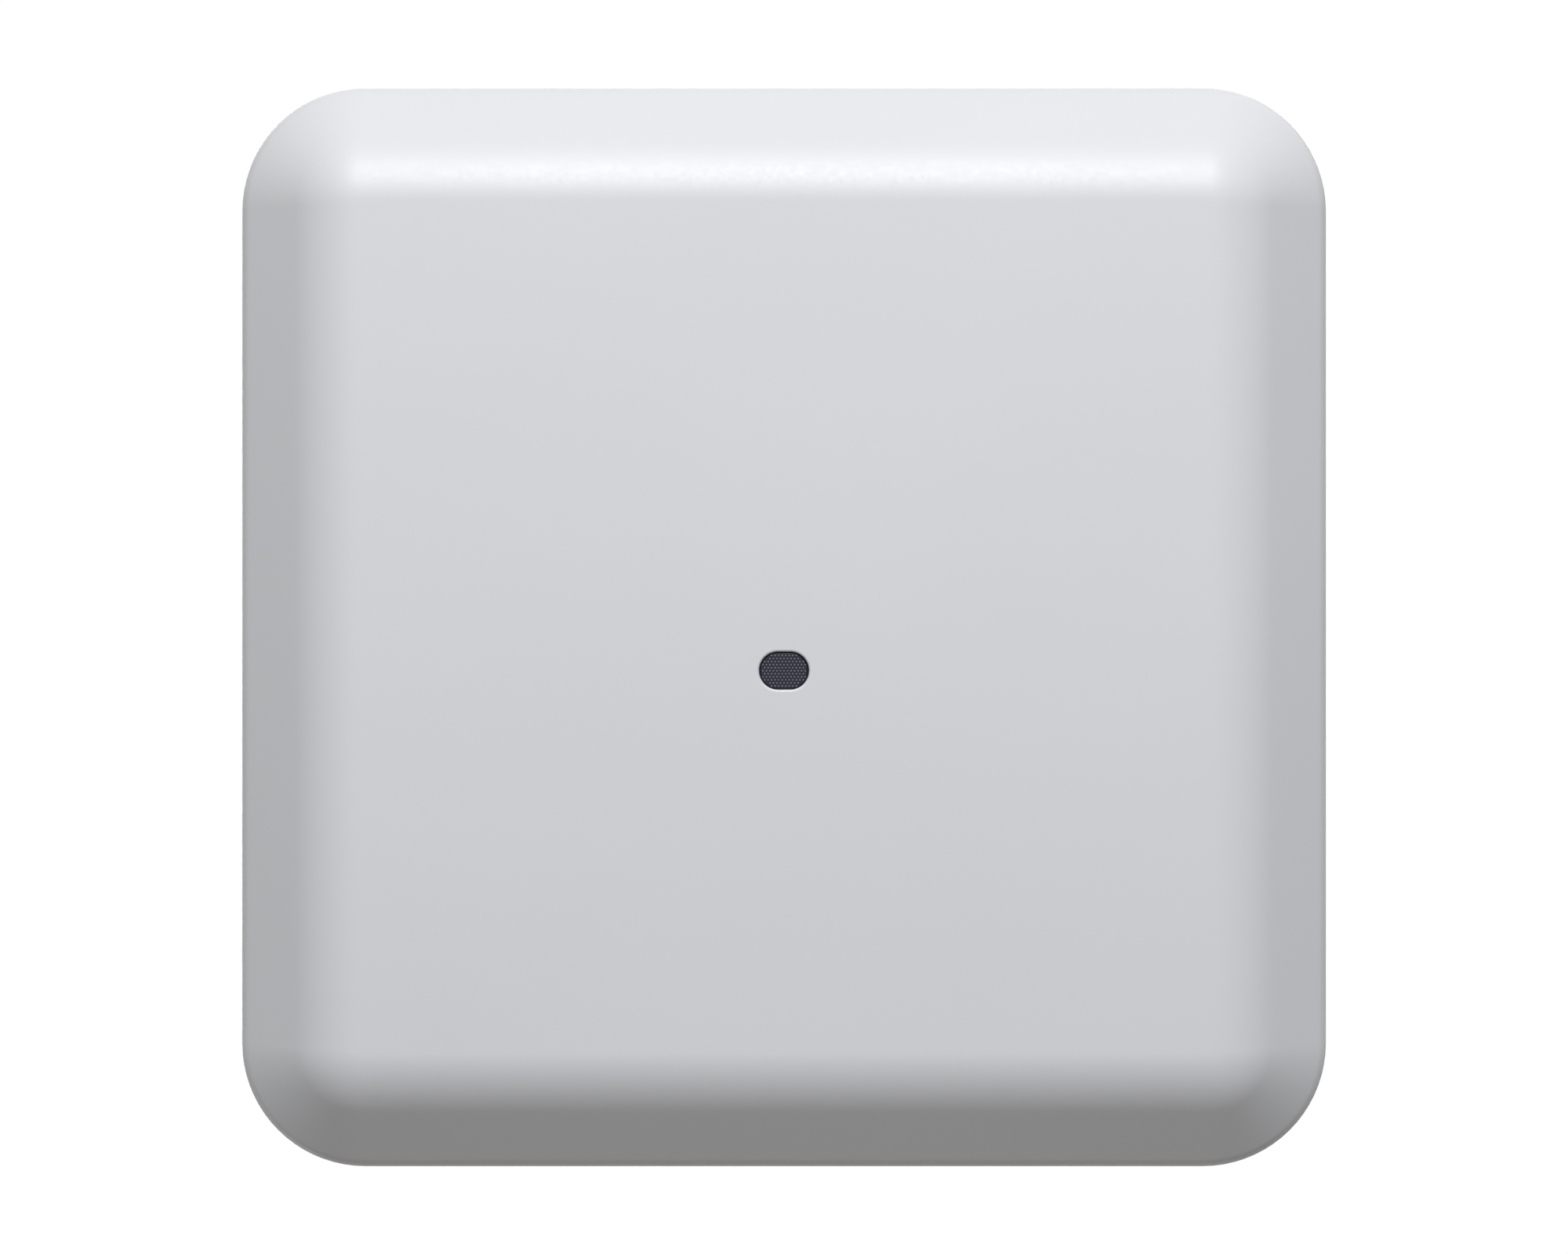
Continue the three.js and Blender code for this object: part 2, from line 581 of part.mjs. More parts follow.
function buildCover() {
  const outside = lofted([...coverLevels(0), [0, coverRimZ]]);
  const open = 1;
  const inside = lofted([...coverLevels(COVER_WALL), [COVER_WALL - open * Math.tan(SKIRT_DRAFT), coverRimZ + open]]);
  const bosses = [];
  const cuts = [obround(LENS_WIDTH + 2 * LENS_CLEARANCE, LENS_LENGTH + 2 * LENS_CLEARANCE,
    faceZ - 1, faceInnerZ + 1, 0, LENS_OFFSET)];
  for (const [signX, signY] of corners) {
    const x = signX * (halfWidth - COVER_SCREW_INSET);
    const y = signY * (halfLength - COVER_SCREW_INSET);
    bosses.push(pillar(COVER_BOSS_RADIUS, faceInnerZ - COVER_WALL / 4, coverBossZ, x, y));
    cuts.push(pillar(COVER_SCREW.shank + FIT, coverBossZ - COVER_BOSS_BORE, coverBossZ + 1, x, y, SMALL_ROUND));
  }
  place('radome_cover', cut(join(cut(outside, inside), ...bosses), ...cuts), coverPlastic);
}

function buildStatusWindow() {
  const lensFrontZ = faceZ + LENS_RECESS;
  const flangeTopZ = faceInnerZ + FIT + LENS_FLANGE_THICKNESS;
  const flangeWidth = LENS_WIDTH + 2 * LENS_FLANGE;
  const flangeLength = LENS_LENGTH + 2 * LENS_FLANGE;
  const lens = join(
    obround(LENS_WIDTH, LENS_LENGTH, lensFrontZ, flangeTopZ - LENS_FLANGE_THICKNESS / 2, 0, LENS_OFFSET),
    obround(flangeWidth, flangeLength, faceInnerZ + FIT, flangeTopZ, 0, LENS_OFFSET),
  );
  place('status_lens', lens, smokedPlastic);
  const ledFaceZ = boardFrontZ - FIT - LED_HEIGHT;
  const pipe = obround(LIGHT_PIPE_WIDTH, LIGHT_PIPE_LENGTH, flangeTopZ + FIT, ledFaceZ - FIT, 0, LENS_OFFSET);
  place('light_pipe', pipe, clearPlastic);
  const half = LED_SIZE / 2;
  const led = block(-half, half, LENS_OFFSET - half, LENS_OFFSET + half, ledFaceZ, boardFrontZ - FIT);
  place('status_led', led, clearPlastic);
}

// ---------------------------------------------------------------- base casting

const bossPoints = corners.map(([signX, signY]) => [
  signX * (halfWidth - COVER_SCREW_INSET),
  signY * (halfLength - COVER_SCREW_INSET),
]);
const boardScrewPoints = [
  [boardScrewX, boardScrewHighY],
  [-boardScrewX, boardScrewHighY],
  [-boardScrewX, boardScrewLowY],
  [boardScrewX, boardScrewLowY],
];
const studPoints = corners.map(([signX, signY]) => [signX * STUD_X, signY * STUD_Y]);

const shieldTopZ = boardBackZ + FIT + SHIELD_HEIGHT;
const padLowZ = shieldTopZ + FIT;
const pedestalZ = padLowZ + THERMAL_PAD_THICKNESS + FIT;

// The sockets' outer sizes and places, which the bay's wall is cut round.
const sockets = [
  ...['ethernet_jack_main', 'ethernet_jack_second', 'console_jack'].map((name, index) => ({
    name, x: FIRST_JACK_X + index * NETWORK_JACK_PITCH, size: NETWORK_JACK,
  })),
  { name: 'usb_socket', x: USB_X, size: USB_SOCKET },
  { name: 'dc_power_jack', x: POWER_X, size: POWER_JACK },
];
const buttonZ = jackBottomZ + BUTTON_RISE;

function buildBase() {
  const shoulderZ = flangeZ + FLANGE_THICKNESS;
  const outside = lofted([
    [BASE_INSET, flangeZ],
    [BASE_INSET, shoulderZ],
    [BASE_INSET + FLANGE_CHAMFER, shoulderZ + FLANGE_CHAMFER],
    [FLANGE_STEP, shoulderZ + FLANGE_CHAMFER],
    [BACK_INSET, backZ - BACK_ROUND],
    [BACK_INSET + BACK_ROUND * 0.35, backZ - BACK_ROUND * 0.35],
    [BACK_INSET + BACK_ROUND, backZ],
  ]);
  const cavity = lofted([
    [cavityRimInset, flangeZ - LIP_HEIGHT],
    [cavityRimInset, flangeZ],
    [cavityFloorInset, trayFloorZ],
  ]);
  const lipInset = COVER_WALL + 2 * FIT;
  const lip = cut(
    lofted([[lipInset, flangeZ - LIP_HEIGHT], [lipInset, flangeZ + 1]]),
    lofted([[lipInset + LIP_WALL, flangeZ - LIP_HEIGHT - 1], [lipInset + LIP_WALL, flangeZ + 2]]),
  );
  const farY = -COVER_LENGTH;
  const bayBlock = block(BAY_LEFT_X - BASE_WALL, BAY_RIGHT_X + BASE_WALL, farY, bayWallY + BASE_WALL,
    flangeZ, backZ + 1);
  const bayVoid = block(BAY_LEFT_X, BAY_RIGHT_X, farY, bayWallY, bayFloorZ, backZ + 1);
  const shell = cut(outside, cut(cavity, bayBlock), bayVoid);

  const added = [lip];
  const cuts = [];
  for (const [x, y] of bossPoints) {
    added.push(pillar(BASE_BOSS_RADIUS, flangeZ, trayFloorZ + BASE_WALL / 2, x, y));
    cuts.push(pillar(COUNTERBORE_RADIUS, flangeZ + COUNTERBORE_FLOOR, backZ + 1, x, y));
    cuts.push(pillar(COVER_SCREW.shank + FIT, flangeZ - 1, flangeZ + COUNTERBORE_FLOOR + 1, x, y, SMALL_ROUND));
  }
  for (const [x, y] of boardScrewPoints) {
    added.push(pillar(BOARD_BOSS_RADIUS, boardBackZ + FIT, trayFloorZ + BASE_WALL / 2, x, y));
    cuts.push(pillar(BOARD_SCREW.shank + FIT, boardBackZ, boardBackZ + BOARD_SCREW_BITE + 1, x, y, SMALL_ROUND));
  }
  for (const [x, y] of studPoints) {
    const depth = STUD_SHANK_LENGTH + FIT;
    added.push(pillar(STUD_COLLAR_RADIUS, backZ - depth - 1.5, trayFloorZ + BASE_WALL / 2, x, y));
    cuts.push(pillar(STUD_SHANK_RADIUS + FIT, backZ - depth, backZ + 1, x, y, SMALL_ROUND));
  }
  for (const shield of SHIELDS) {
    const width = shield.width - 2 * THERMAL_PAD_MARGIN;
    const length = shield.length - 2 * THERMAL_PAD_MARGIN;
    added.push(slab(width, length, SHIELD_CORNER, pedestalZ, trayFloorZ + BASE_WALL / 2, shield.x, shield.y));
  }
  const ribEdge = halfWidth - BACK_INSET - BACK_ROUND;
  for (const side of [-1, 1]) {
    for (let index = 0; index < RIB_COUNT; index += 1) {
      const x = side * (ribEdge - RIB_WIDTH / 2 - index * RIB_PITCH);
      added.push(block(x - RIB_WIDTH / 2, x + RIB_WIDTH / 2, -RIB_LENGTH / 2, RIB_LENGTH / 2,
        backZ - BASE_WALL / 2, backZ + RIB_HEIGHT));
    }
  }
  for (const { x, size } of sockets) {
    const halfWindow = size.width / 2 + WINDOW_GAP;
    cuts.push(block(x - halfWindow, x + halfWindow, bayWallY - 1, bayWallY + BASE_WALL + 1,
      jackBottomZ - FIT, jackBottomZ + size.height + WINDOW_GAP));
  }
  cuts.push(barAlongY(BUTTON_RADIUS + FIT, bayWallY - 1, bayWallY + BASE_WALL + 1, BUTTON_X, buttonZ));
  const catchHalf = LATCH_TOOTH_WIDTH / 2 + 1;
  const catchY = LATCH_TOOTH_Y - 1;
  cuts.push(block(-catchHalf, catchHalf, catchY, catchY + CATCH_LENGTH, backZ - CATCH_DEPTH, backZ + 1));
  const lockZ = (backZ + flangeZ) / 2;
  cuts.push(block(halfWidth - cavityFloorInset - 5, halfWidth, LOCK_SLOT_Y - LOCK_SLOT_LENGTH / 2,
    LOCK_SLOT_Y + LOCK_SLOT_LENGTH / 2, lockZ - LOCK_SLOT_WIDTH / 2, lockZ + LOCK_SLOT_WIDTH / 2));
  place('base_casting', cut(join(shell, ...added), ...cuts), castMetal);

  for (const [index, [x, y]] of bossPoints.entries()) {
    const headZ = flangeZ + COUNTERBORE_FLOOR + FIT;
    const tipZ = coverBossZ - COVER_BOSS_BORE + 2 * FIT;
    place(`cover_screw_${index + 1}`, panScrew(x, y, headZ, tipZ, COVER_SCREW), screwSteel);
  }
}

function buildGasket() {
  const lowZ = gasketZ - GASKET_THICKNESS;
  const innerInset = GASKET_INSET + GASKET_WIDTH;
  const ring = cut(
    lofted([[GASKET_INSET, lowZ], [GASKET_INSET, gasketZ]]),
    lofted([[innerInset, lowZ - 1], [innerInset, gasketZ + 1]]),
  );
  place('cover_gasket', ring, blackRubber);
}

function buildStuds() {
  const collarLowZ = backZ + FIT;
  const collarTopZ = keyholeBottomZ - FIT;
  const headLowZ = keyholeTopZ + FIT;
  const headTopZ = headLowZ + STUD_HEAD_HEIGHT;
  const profile = [
    [0, backZ - STUD_SHANK_LENGTH],
    [STUD_SHANK_RADIUS * 0.7, backZ - STUD_SHANK_LENGTH],
    [STUD_SHANK_RADIUS, backZ - STUD_SHANK_LENGTH + 0.8],
    [STUD_SHANK_RADIUS, collarLowZ],
    [STUD_COLLAR_RADIUS, collarLowZ],
    [STUD_COLLAR_RADIUS, collarTopZ],
    [STUD_NECK_RADIUS, collarTopZ],
    [STUD_NECK_RADIUS, headLowZ],
    [STUD_HEAD_RADIUS, headLowZ],
    [STUD_HEAD_RADIUS, headTopZ - 0.7],
    [STUD_HEAD_RADIUS - 0.9, headTopZ],
    [0, headTopZ],
  ];
  for (const [index, [x, y]] of studPoints.entries()) {
    place(`mounting_stud_${index + 1}`, turned(profile, x, y, ROUND), screwSteel);
  }
}

function buildLabel() {
  const y = halfLength - LABEL.margin - LABEL.length / 2 + 4;
  const lowZ = backZ + 0.05;
  place('rating_label', slab(LABEL.width, LABEL.length, LABEL.corner, lowZ, lowZ + LABEL.thickness, 0, y), labelFilm);
}

// ---------------------------------------------------------------- electronics

function buildBoard() {
  const lengthY = boardEndY - boardEdgeY;
  const centreY = (boardEndY + boardEdgeY) / 2;
  const board = slab(2 * boardHalfWidth, lengthY, BOARD_CORNER, boardFrontZ, boardBackZ, 0, centreY);
  const sunk = BOARD_THICKNESS / 8;
  const powerParts = POWER_PARTS.map((piece) => ({ ...piece, y: jackEndY + piece.gap + piece.length / 2 }));
  const soldered = [...CHIPS, ...powerParts].map(({ x, y, width, length, height }) => block(
    x - width / 2, x + width / 2, y - length / 2, y + length / 2, boardBackZ - sunk, boardBackZ + height,
  ));
  const { radius, height, gap, places } = CAPACITOR;
  for (const x of places) {
    soldered.push(pillar(radius, boardBackZ - sunk, boardBackZ + height, x, jackEndY + gap));
  }
  const holes = [];
  for (const [x, y] of bossPoints) {
    holes.push(pillar(BASE_BOSS_RADIUS + 4 * FIT, boardFrontZ - 1, boardBackZ + 1, x, y));
  }
  for (const [x, y] of boardScrewPoints) {
    holes.push(pillar(BOARD_SCREW.shank + FIT, boardFrontZ - 1, boardBackZ + 1, x, y, SMALL_ROUND));
    const index = holes.length - bossPoints.length;
    const headZ = boardFrontZ - FIT - REFLECTOR_SHEET - FIT;
    place(`board_screw_${index}`, panScrew(x, y, headZ, boardBackZ + BOARD_SCREW_BITE, BOARD_SCREW), screwSteel);
  }
  place('main_board', cut(join(board, ...soldered), ...holes), greenBoard);
}

function buildShields() {
  for (const { name, x, y, width, length } of SHIELDS) {
    const lowZ = boardBackZ + FIT;
    const can = cut(
      slab(width, length, SHIELD_CORNER, lowZ, shieldTopZ, x, y),
      slab(width - 2 * SHIELD_SHEET, length - 2 * SHIELD_SHEET, SHIELD_CORNER - SHIELD_SHEET,
        lowZ - 1, shieldTopZ - SHIELD_SHEET, x, y),
    );
    place(`shield_can_${name}`, can, tinPlate);
    const pad = slab(width - 2 * THERMAL_PAD_MARGIN, length - 2 * THERMAL_PAD_MARGIN, SHIELD_CORNER,
      padLowZ, padLowZ + THERMAL_PAD_THICKNESS, x, y);
    place(`thermal_pad_${name}`, pad, padSilicone);
  }
}

function buildSockets() {
  for (const { name, x, size } of sockets) {
    const middleZ = jackBottomZ + size.height / 2;
    const body = block(x - size.width / 2, x + size.width / 2, jackFrontY, jackFrontY + size.depth,
      jackBottomZ, jackBottomZ + size.height);
    const mouthEndY = jackFrontY + size.mouthDepth;
    let mouth;
    if (size.mouthRadius) {
      mouth = barAlongY(size.mouthRadius, jackFrontY - 1, mouthEndY, x, middleZ);
    } else {
      mouth = block(x - size.mouthWidth / 2, x + size.mouthWidth / 2, jackFrontY - 1, mouthEndY,
        middleZ - size.mouthHeight / 2, middleZ + size.mouthHeight / 2);
    }
    place(name, cut(body, mouth), name === 'dc_power_jack' ? blackPlastic : tinPlate);
  }
}

function buildModeButton() {
  const frontY = bayWallY - BUTTON_PROUD;
  const collarY = bayWallY + BASE_WALL + FIT;
  const stemEndY = collarY + BUTTON_STEM;
  const button = join(
    barAlongY(BUTTON_RADIUS, frontY, collarY + 0.5, BUTTON_X, buttonZ),
    barAlongY(BUTTON_RADIUS + BUTTON_COLLAR, collarY, collarY + 1, BUTTON_X, buttonZ),
    barAlongY(BUTTON_RADIUS * 0.6, collarY, stemEndY, BUTTON_X, buttonZ),
  );
  place('mode_button', button, blackPlastic);
  const switchY = stemEndY + BUTTON_TRAVEL + FIT;
  place('mode_switch', block(BUTTON_X - SWITCH_SIZE / 2, BUTTON_X + SWITCH_SIZE / 2, switchY, switchY + SWITCH_DEPTH,
    jackBottomZ, jackBottomZ + BUTTON_RISE + SWITCH_SIZE / 2), blackPlastic);
}

// ---------------------------------------------------------------- antennas

function buildReflector() {
  const plate = slab(2 * reflectorHalfWidth, 2 * reflectorHalfLength, REFLECTOR_CORNER, reflectorFrontZ, reflectorZ);
  const footLowZ = boardFrontZ - FIT - REFLECTOR_SHEET;
  const added = [];
  const cuts = [obround(LIGHT_PIPE_WIDTH + 4 * FIT, LIGHT_PIPE_LENGTH + 4 * FIT,
    reflectorFrontZ - 1, reflectorZ + 1, 0, LENS_OFFSET)];
  for (const [x, y] of boardScrewPoints) {
    const side = Math.sign(x);
    const legX = side * reflectorHalfWidth;
    const footX = side * (boardScrewX + REFLECTOR_FOOT / 2);
    const inner = legX - side * REFLECTOR_SHEET;
    const lowY = y - REFLECTOR_FOOT_WIDTH / 2;
    const highY = y + REFLECTOR_FOOT_WIDTH / 2;
    const footTopZ = footLowZ + REFLECTOR_SHEET;
    added.push(block(Math.min(legX, inner), Math.max(legX, inner), lowY, highY, reflectorFrontZ, footTopZ));
    added.push(block(Math.min(inner, footX), Math.max(inner, footX), lowY, highY, footLowZ, footTopZ));
    cuts.push(pillar(BOARD_SCREW.shank + FIT, footLowZ - 1, footLowZ + 2, x, y, SMALL_ROUND));
  }
  for (const [signX, signY] of corners) {
    const [x, y] = leadHole(signX, signY);
    cuts.push(pillar(LEAD_RADIUS + 4 * FIT, reflectorFrontZ - 1, reflectorZ + 1, x, y, SMALL_ROUND));
  }
  place('antenna_reflector', cut(join(plate, ...added), ...cuts), tinPlate);
}

// Where one antenna's lead passes through the reflector.
function leadHole(signX, signY) {
  return [signX * (antennaX - ANTENNA_FOOT), signY * (antennaY - ANTENNA_FOOT)];
}

function buildAntennas() {
  const footZ = reflectorFrontZ - FIT;
  const sheet = ANTENNA_SHEET;
  const half = ANTENNA_WIDTH / 2;
  for (const [index, [signX, signY]] of corners.entries()) {
    const arm = join(
      block(0, ANTENNA_FOOT, -half, half, footZ - sheet, footZ),
      block(0, sheet, -half, half, footZ - ANTENNA_HEIGHT, footZ),
      block(-ANTENNA_ARM + sheet, sheet, -half, half, footZ - ANTENNA_HEIGHT, footZ - ANTENNA_HEIGHT + sheet),
    );
    const slot = block(-ANTENNA_ARM + ANTENNA_SLOT_END, -ANTENNA_SLOT_END, -half / 5, half + 1,
      footZ - ANTENNA_HEIGHT - 1, footZ - ANTENNA_HEIGHT + 2);
    const seat = new THREE.Group();
    seat.position.set(signX * antennaX, signY * antennaY, 0);
    seat.rotation.z = Math.atan2(signY, signX);
    accessPoint.add(seat);
    place(`antenna_element_${index + 1}`, cut(arm, slot), copperAlloy, seat);
    place(`antenna_lead_${index + 1}`, antennaLead(signX, signY), leadJacket);
  }
  const { width, length, thickness, corner } = SCANNER;
  const strip = slab(width, length, corner, footZ - thickness, footZ, 0, -antennaY - length / 2);
  place('scanning_antenna', strip, greenBoard);
}

// A thin coaxial lead from beside an antenna's foot, through the reflector, to its plug on the board.
function antennaLead(signX, signY) {
  const [holeX, holeY] = leadHole(signX, signY);
  const plugX = signX * 24;
  const plugY = signY > 0 ? 44 : -14;
  const plugTopZ = boardFrontZ - FIT - LEAD_PLUG_HEIGHT;
  const runZ = (reflectorZ + plugTopZ) / 2;
  const route = new THREE.CatmullRomCurve3([
    new THREE.Vector3(holeX, holeY, reflectorFrontZ - 3),
    new THREE.Vector3(holeX, holeY, reflectorZ + 0.5),
    new THREE.Vector3(holeX - signX * 3, holeY - signY * 1.5, runZ),
    new THREE.Vector3((holeX + plugX) / 2, (holeY * 2 + plugY) / 3, runZ),
    new THREE.Vector3(plugX + signX * 4, plugY + signY, runZ),
    new THREE.Vector3(plugX, plugY, plugTopZ - 0.2),
  ]);
  const section = new THREE.Shape();
  section.absarc(0, 0, LEAD_RADIUS, 0, Math.PI * 2);
  const options = { steps: 16, curveSegments: 4, bevelEnabled: false, extrudePath: route };
  const tube = new THREE.ExtrudeGeometry(section, options);
  const plug = pillar(LEAD_PLUG_RADIUS, plugTopZ, plugTopZ + LEAD_PLUG_HEIGHT, plugX, plugY, SMALL_ROUND);
  return join(solid(tube), plug);
}

// ---------------------------------------------------------------- build

buildBracket();
buildGridClip('left', -CLIP_X);
buildGridClip('right', CLIP_X);
buildLatch();
buildCover();
buildStatusWindow();
buildBase();
buildGasket();
buildStuds();
buildLabel();
buildBoard();
buildShields();
buildSockets();
buildModeButton();
buildReflector();
buildAntennas();

export default accessPoint;
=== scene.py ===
"""A square ceiling access point hanging from its ceiling bracket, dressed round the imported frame.

Sizes in this script are millimetres and pieces are scaled to metres once, when they are finished.
+Z points up into the ceiling, the white face points down, and the port bay opens towards -Y.
"""

import json
import logging
from collections.abc import Callable
from dataclasses import dataclass, field
from enum import Enum
from math import atan2, cos, pi, radians, sin, tan

import bmesh
import bpy
from mathutils import Matrix, Vector

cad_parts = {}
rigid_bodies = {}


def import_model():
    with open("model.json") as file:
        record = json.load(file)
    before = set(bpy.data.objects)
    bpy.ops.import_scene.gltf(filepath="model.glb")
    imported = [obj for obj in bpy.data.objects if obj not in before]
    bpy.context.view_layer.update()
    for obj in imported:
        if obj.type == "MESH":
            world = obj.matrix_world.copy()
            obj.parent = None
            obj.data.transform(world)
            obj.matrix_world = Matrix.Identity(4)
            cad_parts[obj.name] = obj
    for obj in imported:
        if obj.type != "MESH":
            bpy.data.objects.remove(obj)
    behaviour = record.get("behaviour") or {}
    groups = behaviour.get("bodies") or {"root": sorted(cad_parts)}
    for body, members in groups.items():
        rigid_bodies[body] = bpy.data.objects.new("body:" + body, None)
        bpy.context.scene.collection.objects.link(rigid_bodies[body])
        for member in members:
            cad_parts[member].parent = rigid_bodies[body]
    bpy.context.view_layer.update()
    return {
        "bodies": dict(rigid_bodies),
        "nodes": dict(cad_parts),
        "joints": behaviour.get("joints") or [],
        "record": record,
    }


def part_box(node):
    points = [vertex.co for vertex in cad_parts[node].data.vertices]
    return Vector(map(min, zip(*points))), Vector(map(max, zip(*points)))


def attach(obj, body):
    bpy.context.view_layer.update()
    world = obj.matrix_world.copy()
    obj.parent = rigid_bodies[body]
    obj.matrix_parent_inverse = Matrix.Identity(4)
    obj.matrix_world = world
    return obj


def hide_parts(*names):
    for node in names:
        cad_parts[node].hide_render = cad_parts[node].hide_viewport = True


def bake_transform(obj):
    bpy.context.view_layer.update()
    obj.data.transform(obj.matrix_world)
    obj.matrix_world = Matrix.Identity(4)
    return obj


MM = 0.001
UP = (0.0, 0.0, 1.0)
ALONG_X = (1.0, 0.0, 0.0)
ALONG_Y = (0.0, 1.0, 0.0)
WELD = 0.0005
NEAR = 0.01
BLOCK_FACES = 6
SMOOTH_BELOW = radians(40)
LOG = logging.getLogger("access_point")

Loop = list[bmesh.types.BMEdge]
Point = tuple[float, float, float]
Colour = tuple[float, float, float]
Socket = bpy.types.NodeSocket
Value = float | Socket
Paint = Colour | Socket
Test = Callable[[Vector], bool]


class Body(Enum):
    """Bodies of the frame that pieces ride on."""

    BRACKET = "bracket"
    LATCH = "latch"
    JAW_LEFT = "jaw_left"
    JAW_RIGHT = "jaw_right"
    UNIT = "unit"
    BUTTON = "button"


class Slot(Enum):
    """Material slots of the record."""

    BRACKET = "bracket_steel"
    CLIP = "clip_steel"
    SCREW = "screw_steel"
    SPRING = "spring_steel"
    COVER = "cover_plastic"
    LENS = "lens_smoke"
    ACRYLIC = "clear_acrylic"
    CASTING = "cast_metal"
    SEAL = "seal_rubber"
    LABEL = "label_film"
    BOARD = "board_laminate"
    SHIELD = "shield_plate"
    PAD = "pad_silicone"
    JACK = "jack_shell"
    BLACK = "black_plastic"
    ANTENNA = "antenna_alloy"
    LEAD = "lead_jacket"


class Side(Enum):
    """The two grid clips, by the sign of their X."""

    LEFT = -1
    RIGHT = 1

    @property
    def word(self) -> str:
        """The side's name as the frame's nodes spell it."""
        return self.name.lower()


@dataclass(frozen=True)
class Levels:
    """Heights of the stacked parts in millimetres, counted down from the ceiling face."""

    sheet: float = 1.5
    keyhole_top: float = -6.5
    keyhole_bottom: float = -8.0
    base_back: float = -10.0
    gasket_top: float = -32.8
    gasket_bottom: float = -33.8
    cover_rim: float = -34.1
    boss_top: float = -33.1
    jack_bottom: float = -27.9


@dataclass(frozen=True)
class Layout:
    """Places and holes that two sub-assemblies share, in millimetres."""

    stud_x: float = 62.0
    stud_y: float = 52.0
    rivet_y: float = 49.5
    rivet_hole: float = 1.9
    clip_x: float = 26.0
    clip_screw_spread: float = 5.5
    clip_screw_y: float = 19.7
    clip_screw_hole: float = 1.7
    socket_front: float = -89.2


LEVELS = Levels()
LAYOUT = Layout()
CORNERS = ((1, 1), (-1, 1), (-1, -1), (1, -1))


# ------------------------------------------------------------------ shaping


class Pen:
    """Draws an outline by extruding and spinning one vertex."""

    def __init__(self, bm: bmesh.types.BMesh, start: Point) -> None:
        """Put the pen down.

        Args:
            bm: The mesh that takes the outline.
            start: Where the outline starts.
        """
        self.bm = bm
        self.first = bmesh.ops.create_vert(bm, co=start)["vert"][0]
        self.tip = self.first
        self.edges: Loop = []

    def line(self, *ends: Point) -> "Pen":
        """Draw straight lines from the tip through each end.

        Args:
            ends: The points to draw through, in order.

        Returns:
            The pen itself.
        """
        for end in ends:
            made = bmesh.ops.extrude_vert_indiv(self.bm, verts=[self.tip])
            self.tip = made["verts"][0]
            self.tip.co = end
            self.edges += made["edges"]
        return self

    def arc(self, centre: Point, degrees: float, steps: int, axis: Point = UP) -> "Pen":
        """Swing the tip round a centre.

        Args:
            centre: The arc's centre.
            degrees: How far to swing, by the right hand round the axis.
            steps: Straight pieces in the arc.
            axis: The axis of the swing.

        Returns:
            The pen itself.
        """
        known = set(self.bm.edges)
        made = bmesh.ops.spin(self.bm, geom=[self.tip], cent=centre, axis=axis, angle=radians(degrees),
                              steps=steps, use_merge=False, use_duplicate=False)
        self.tip = [v for v in made["geom_last"] if isinstance(v, bmesh.types.BMVert)][0]
        self.edges += [e for e in self.bm.edges if e not in known]
        return self

    def close(self) -> Loop:
        """Join the tip to the start and return the loop's edges."""
        if (self.tip.co - self.first.co).length < WELD:
            bmesh.ops.weld_verts(self.bm, targetmap={self.tip: self.first})
            corners = {v for e in self.edges if e.is_valid for v in e.verts}
            self.edges = list({e for v in corners for e in v.link_edges})
        else:
            self.edges.append(self.bm.edges.new((self.tip, self.first)))
        return self.edges


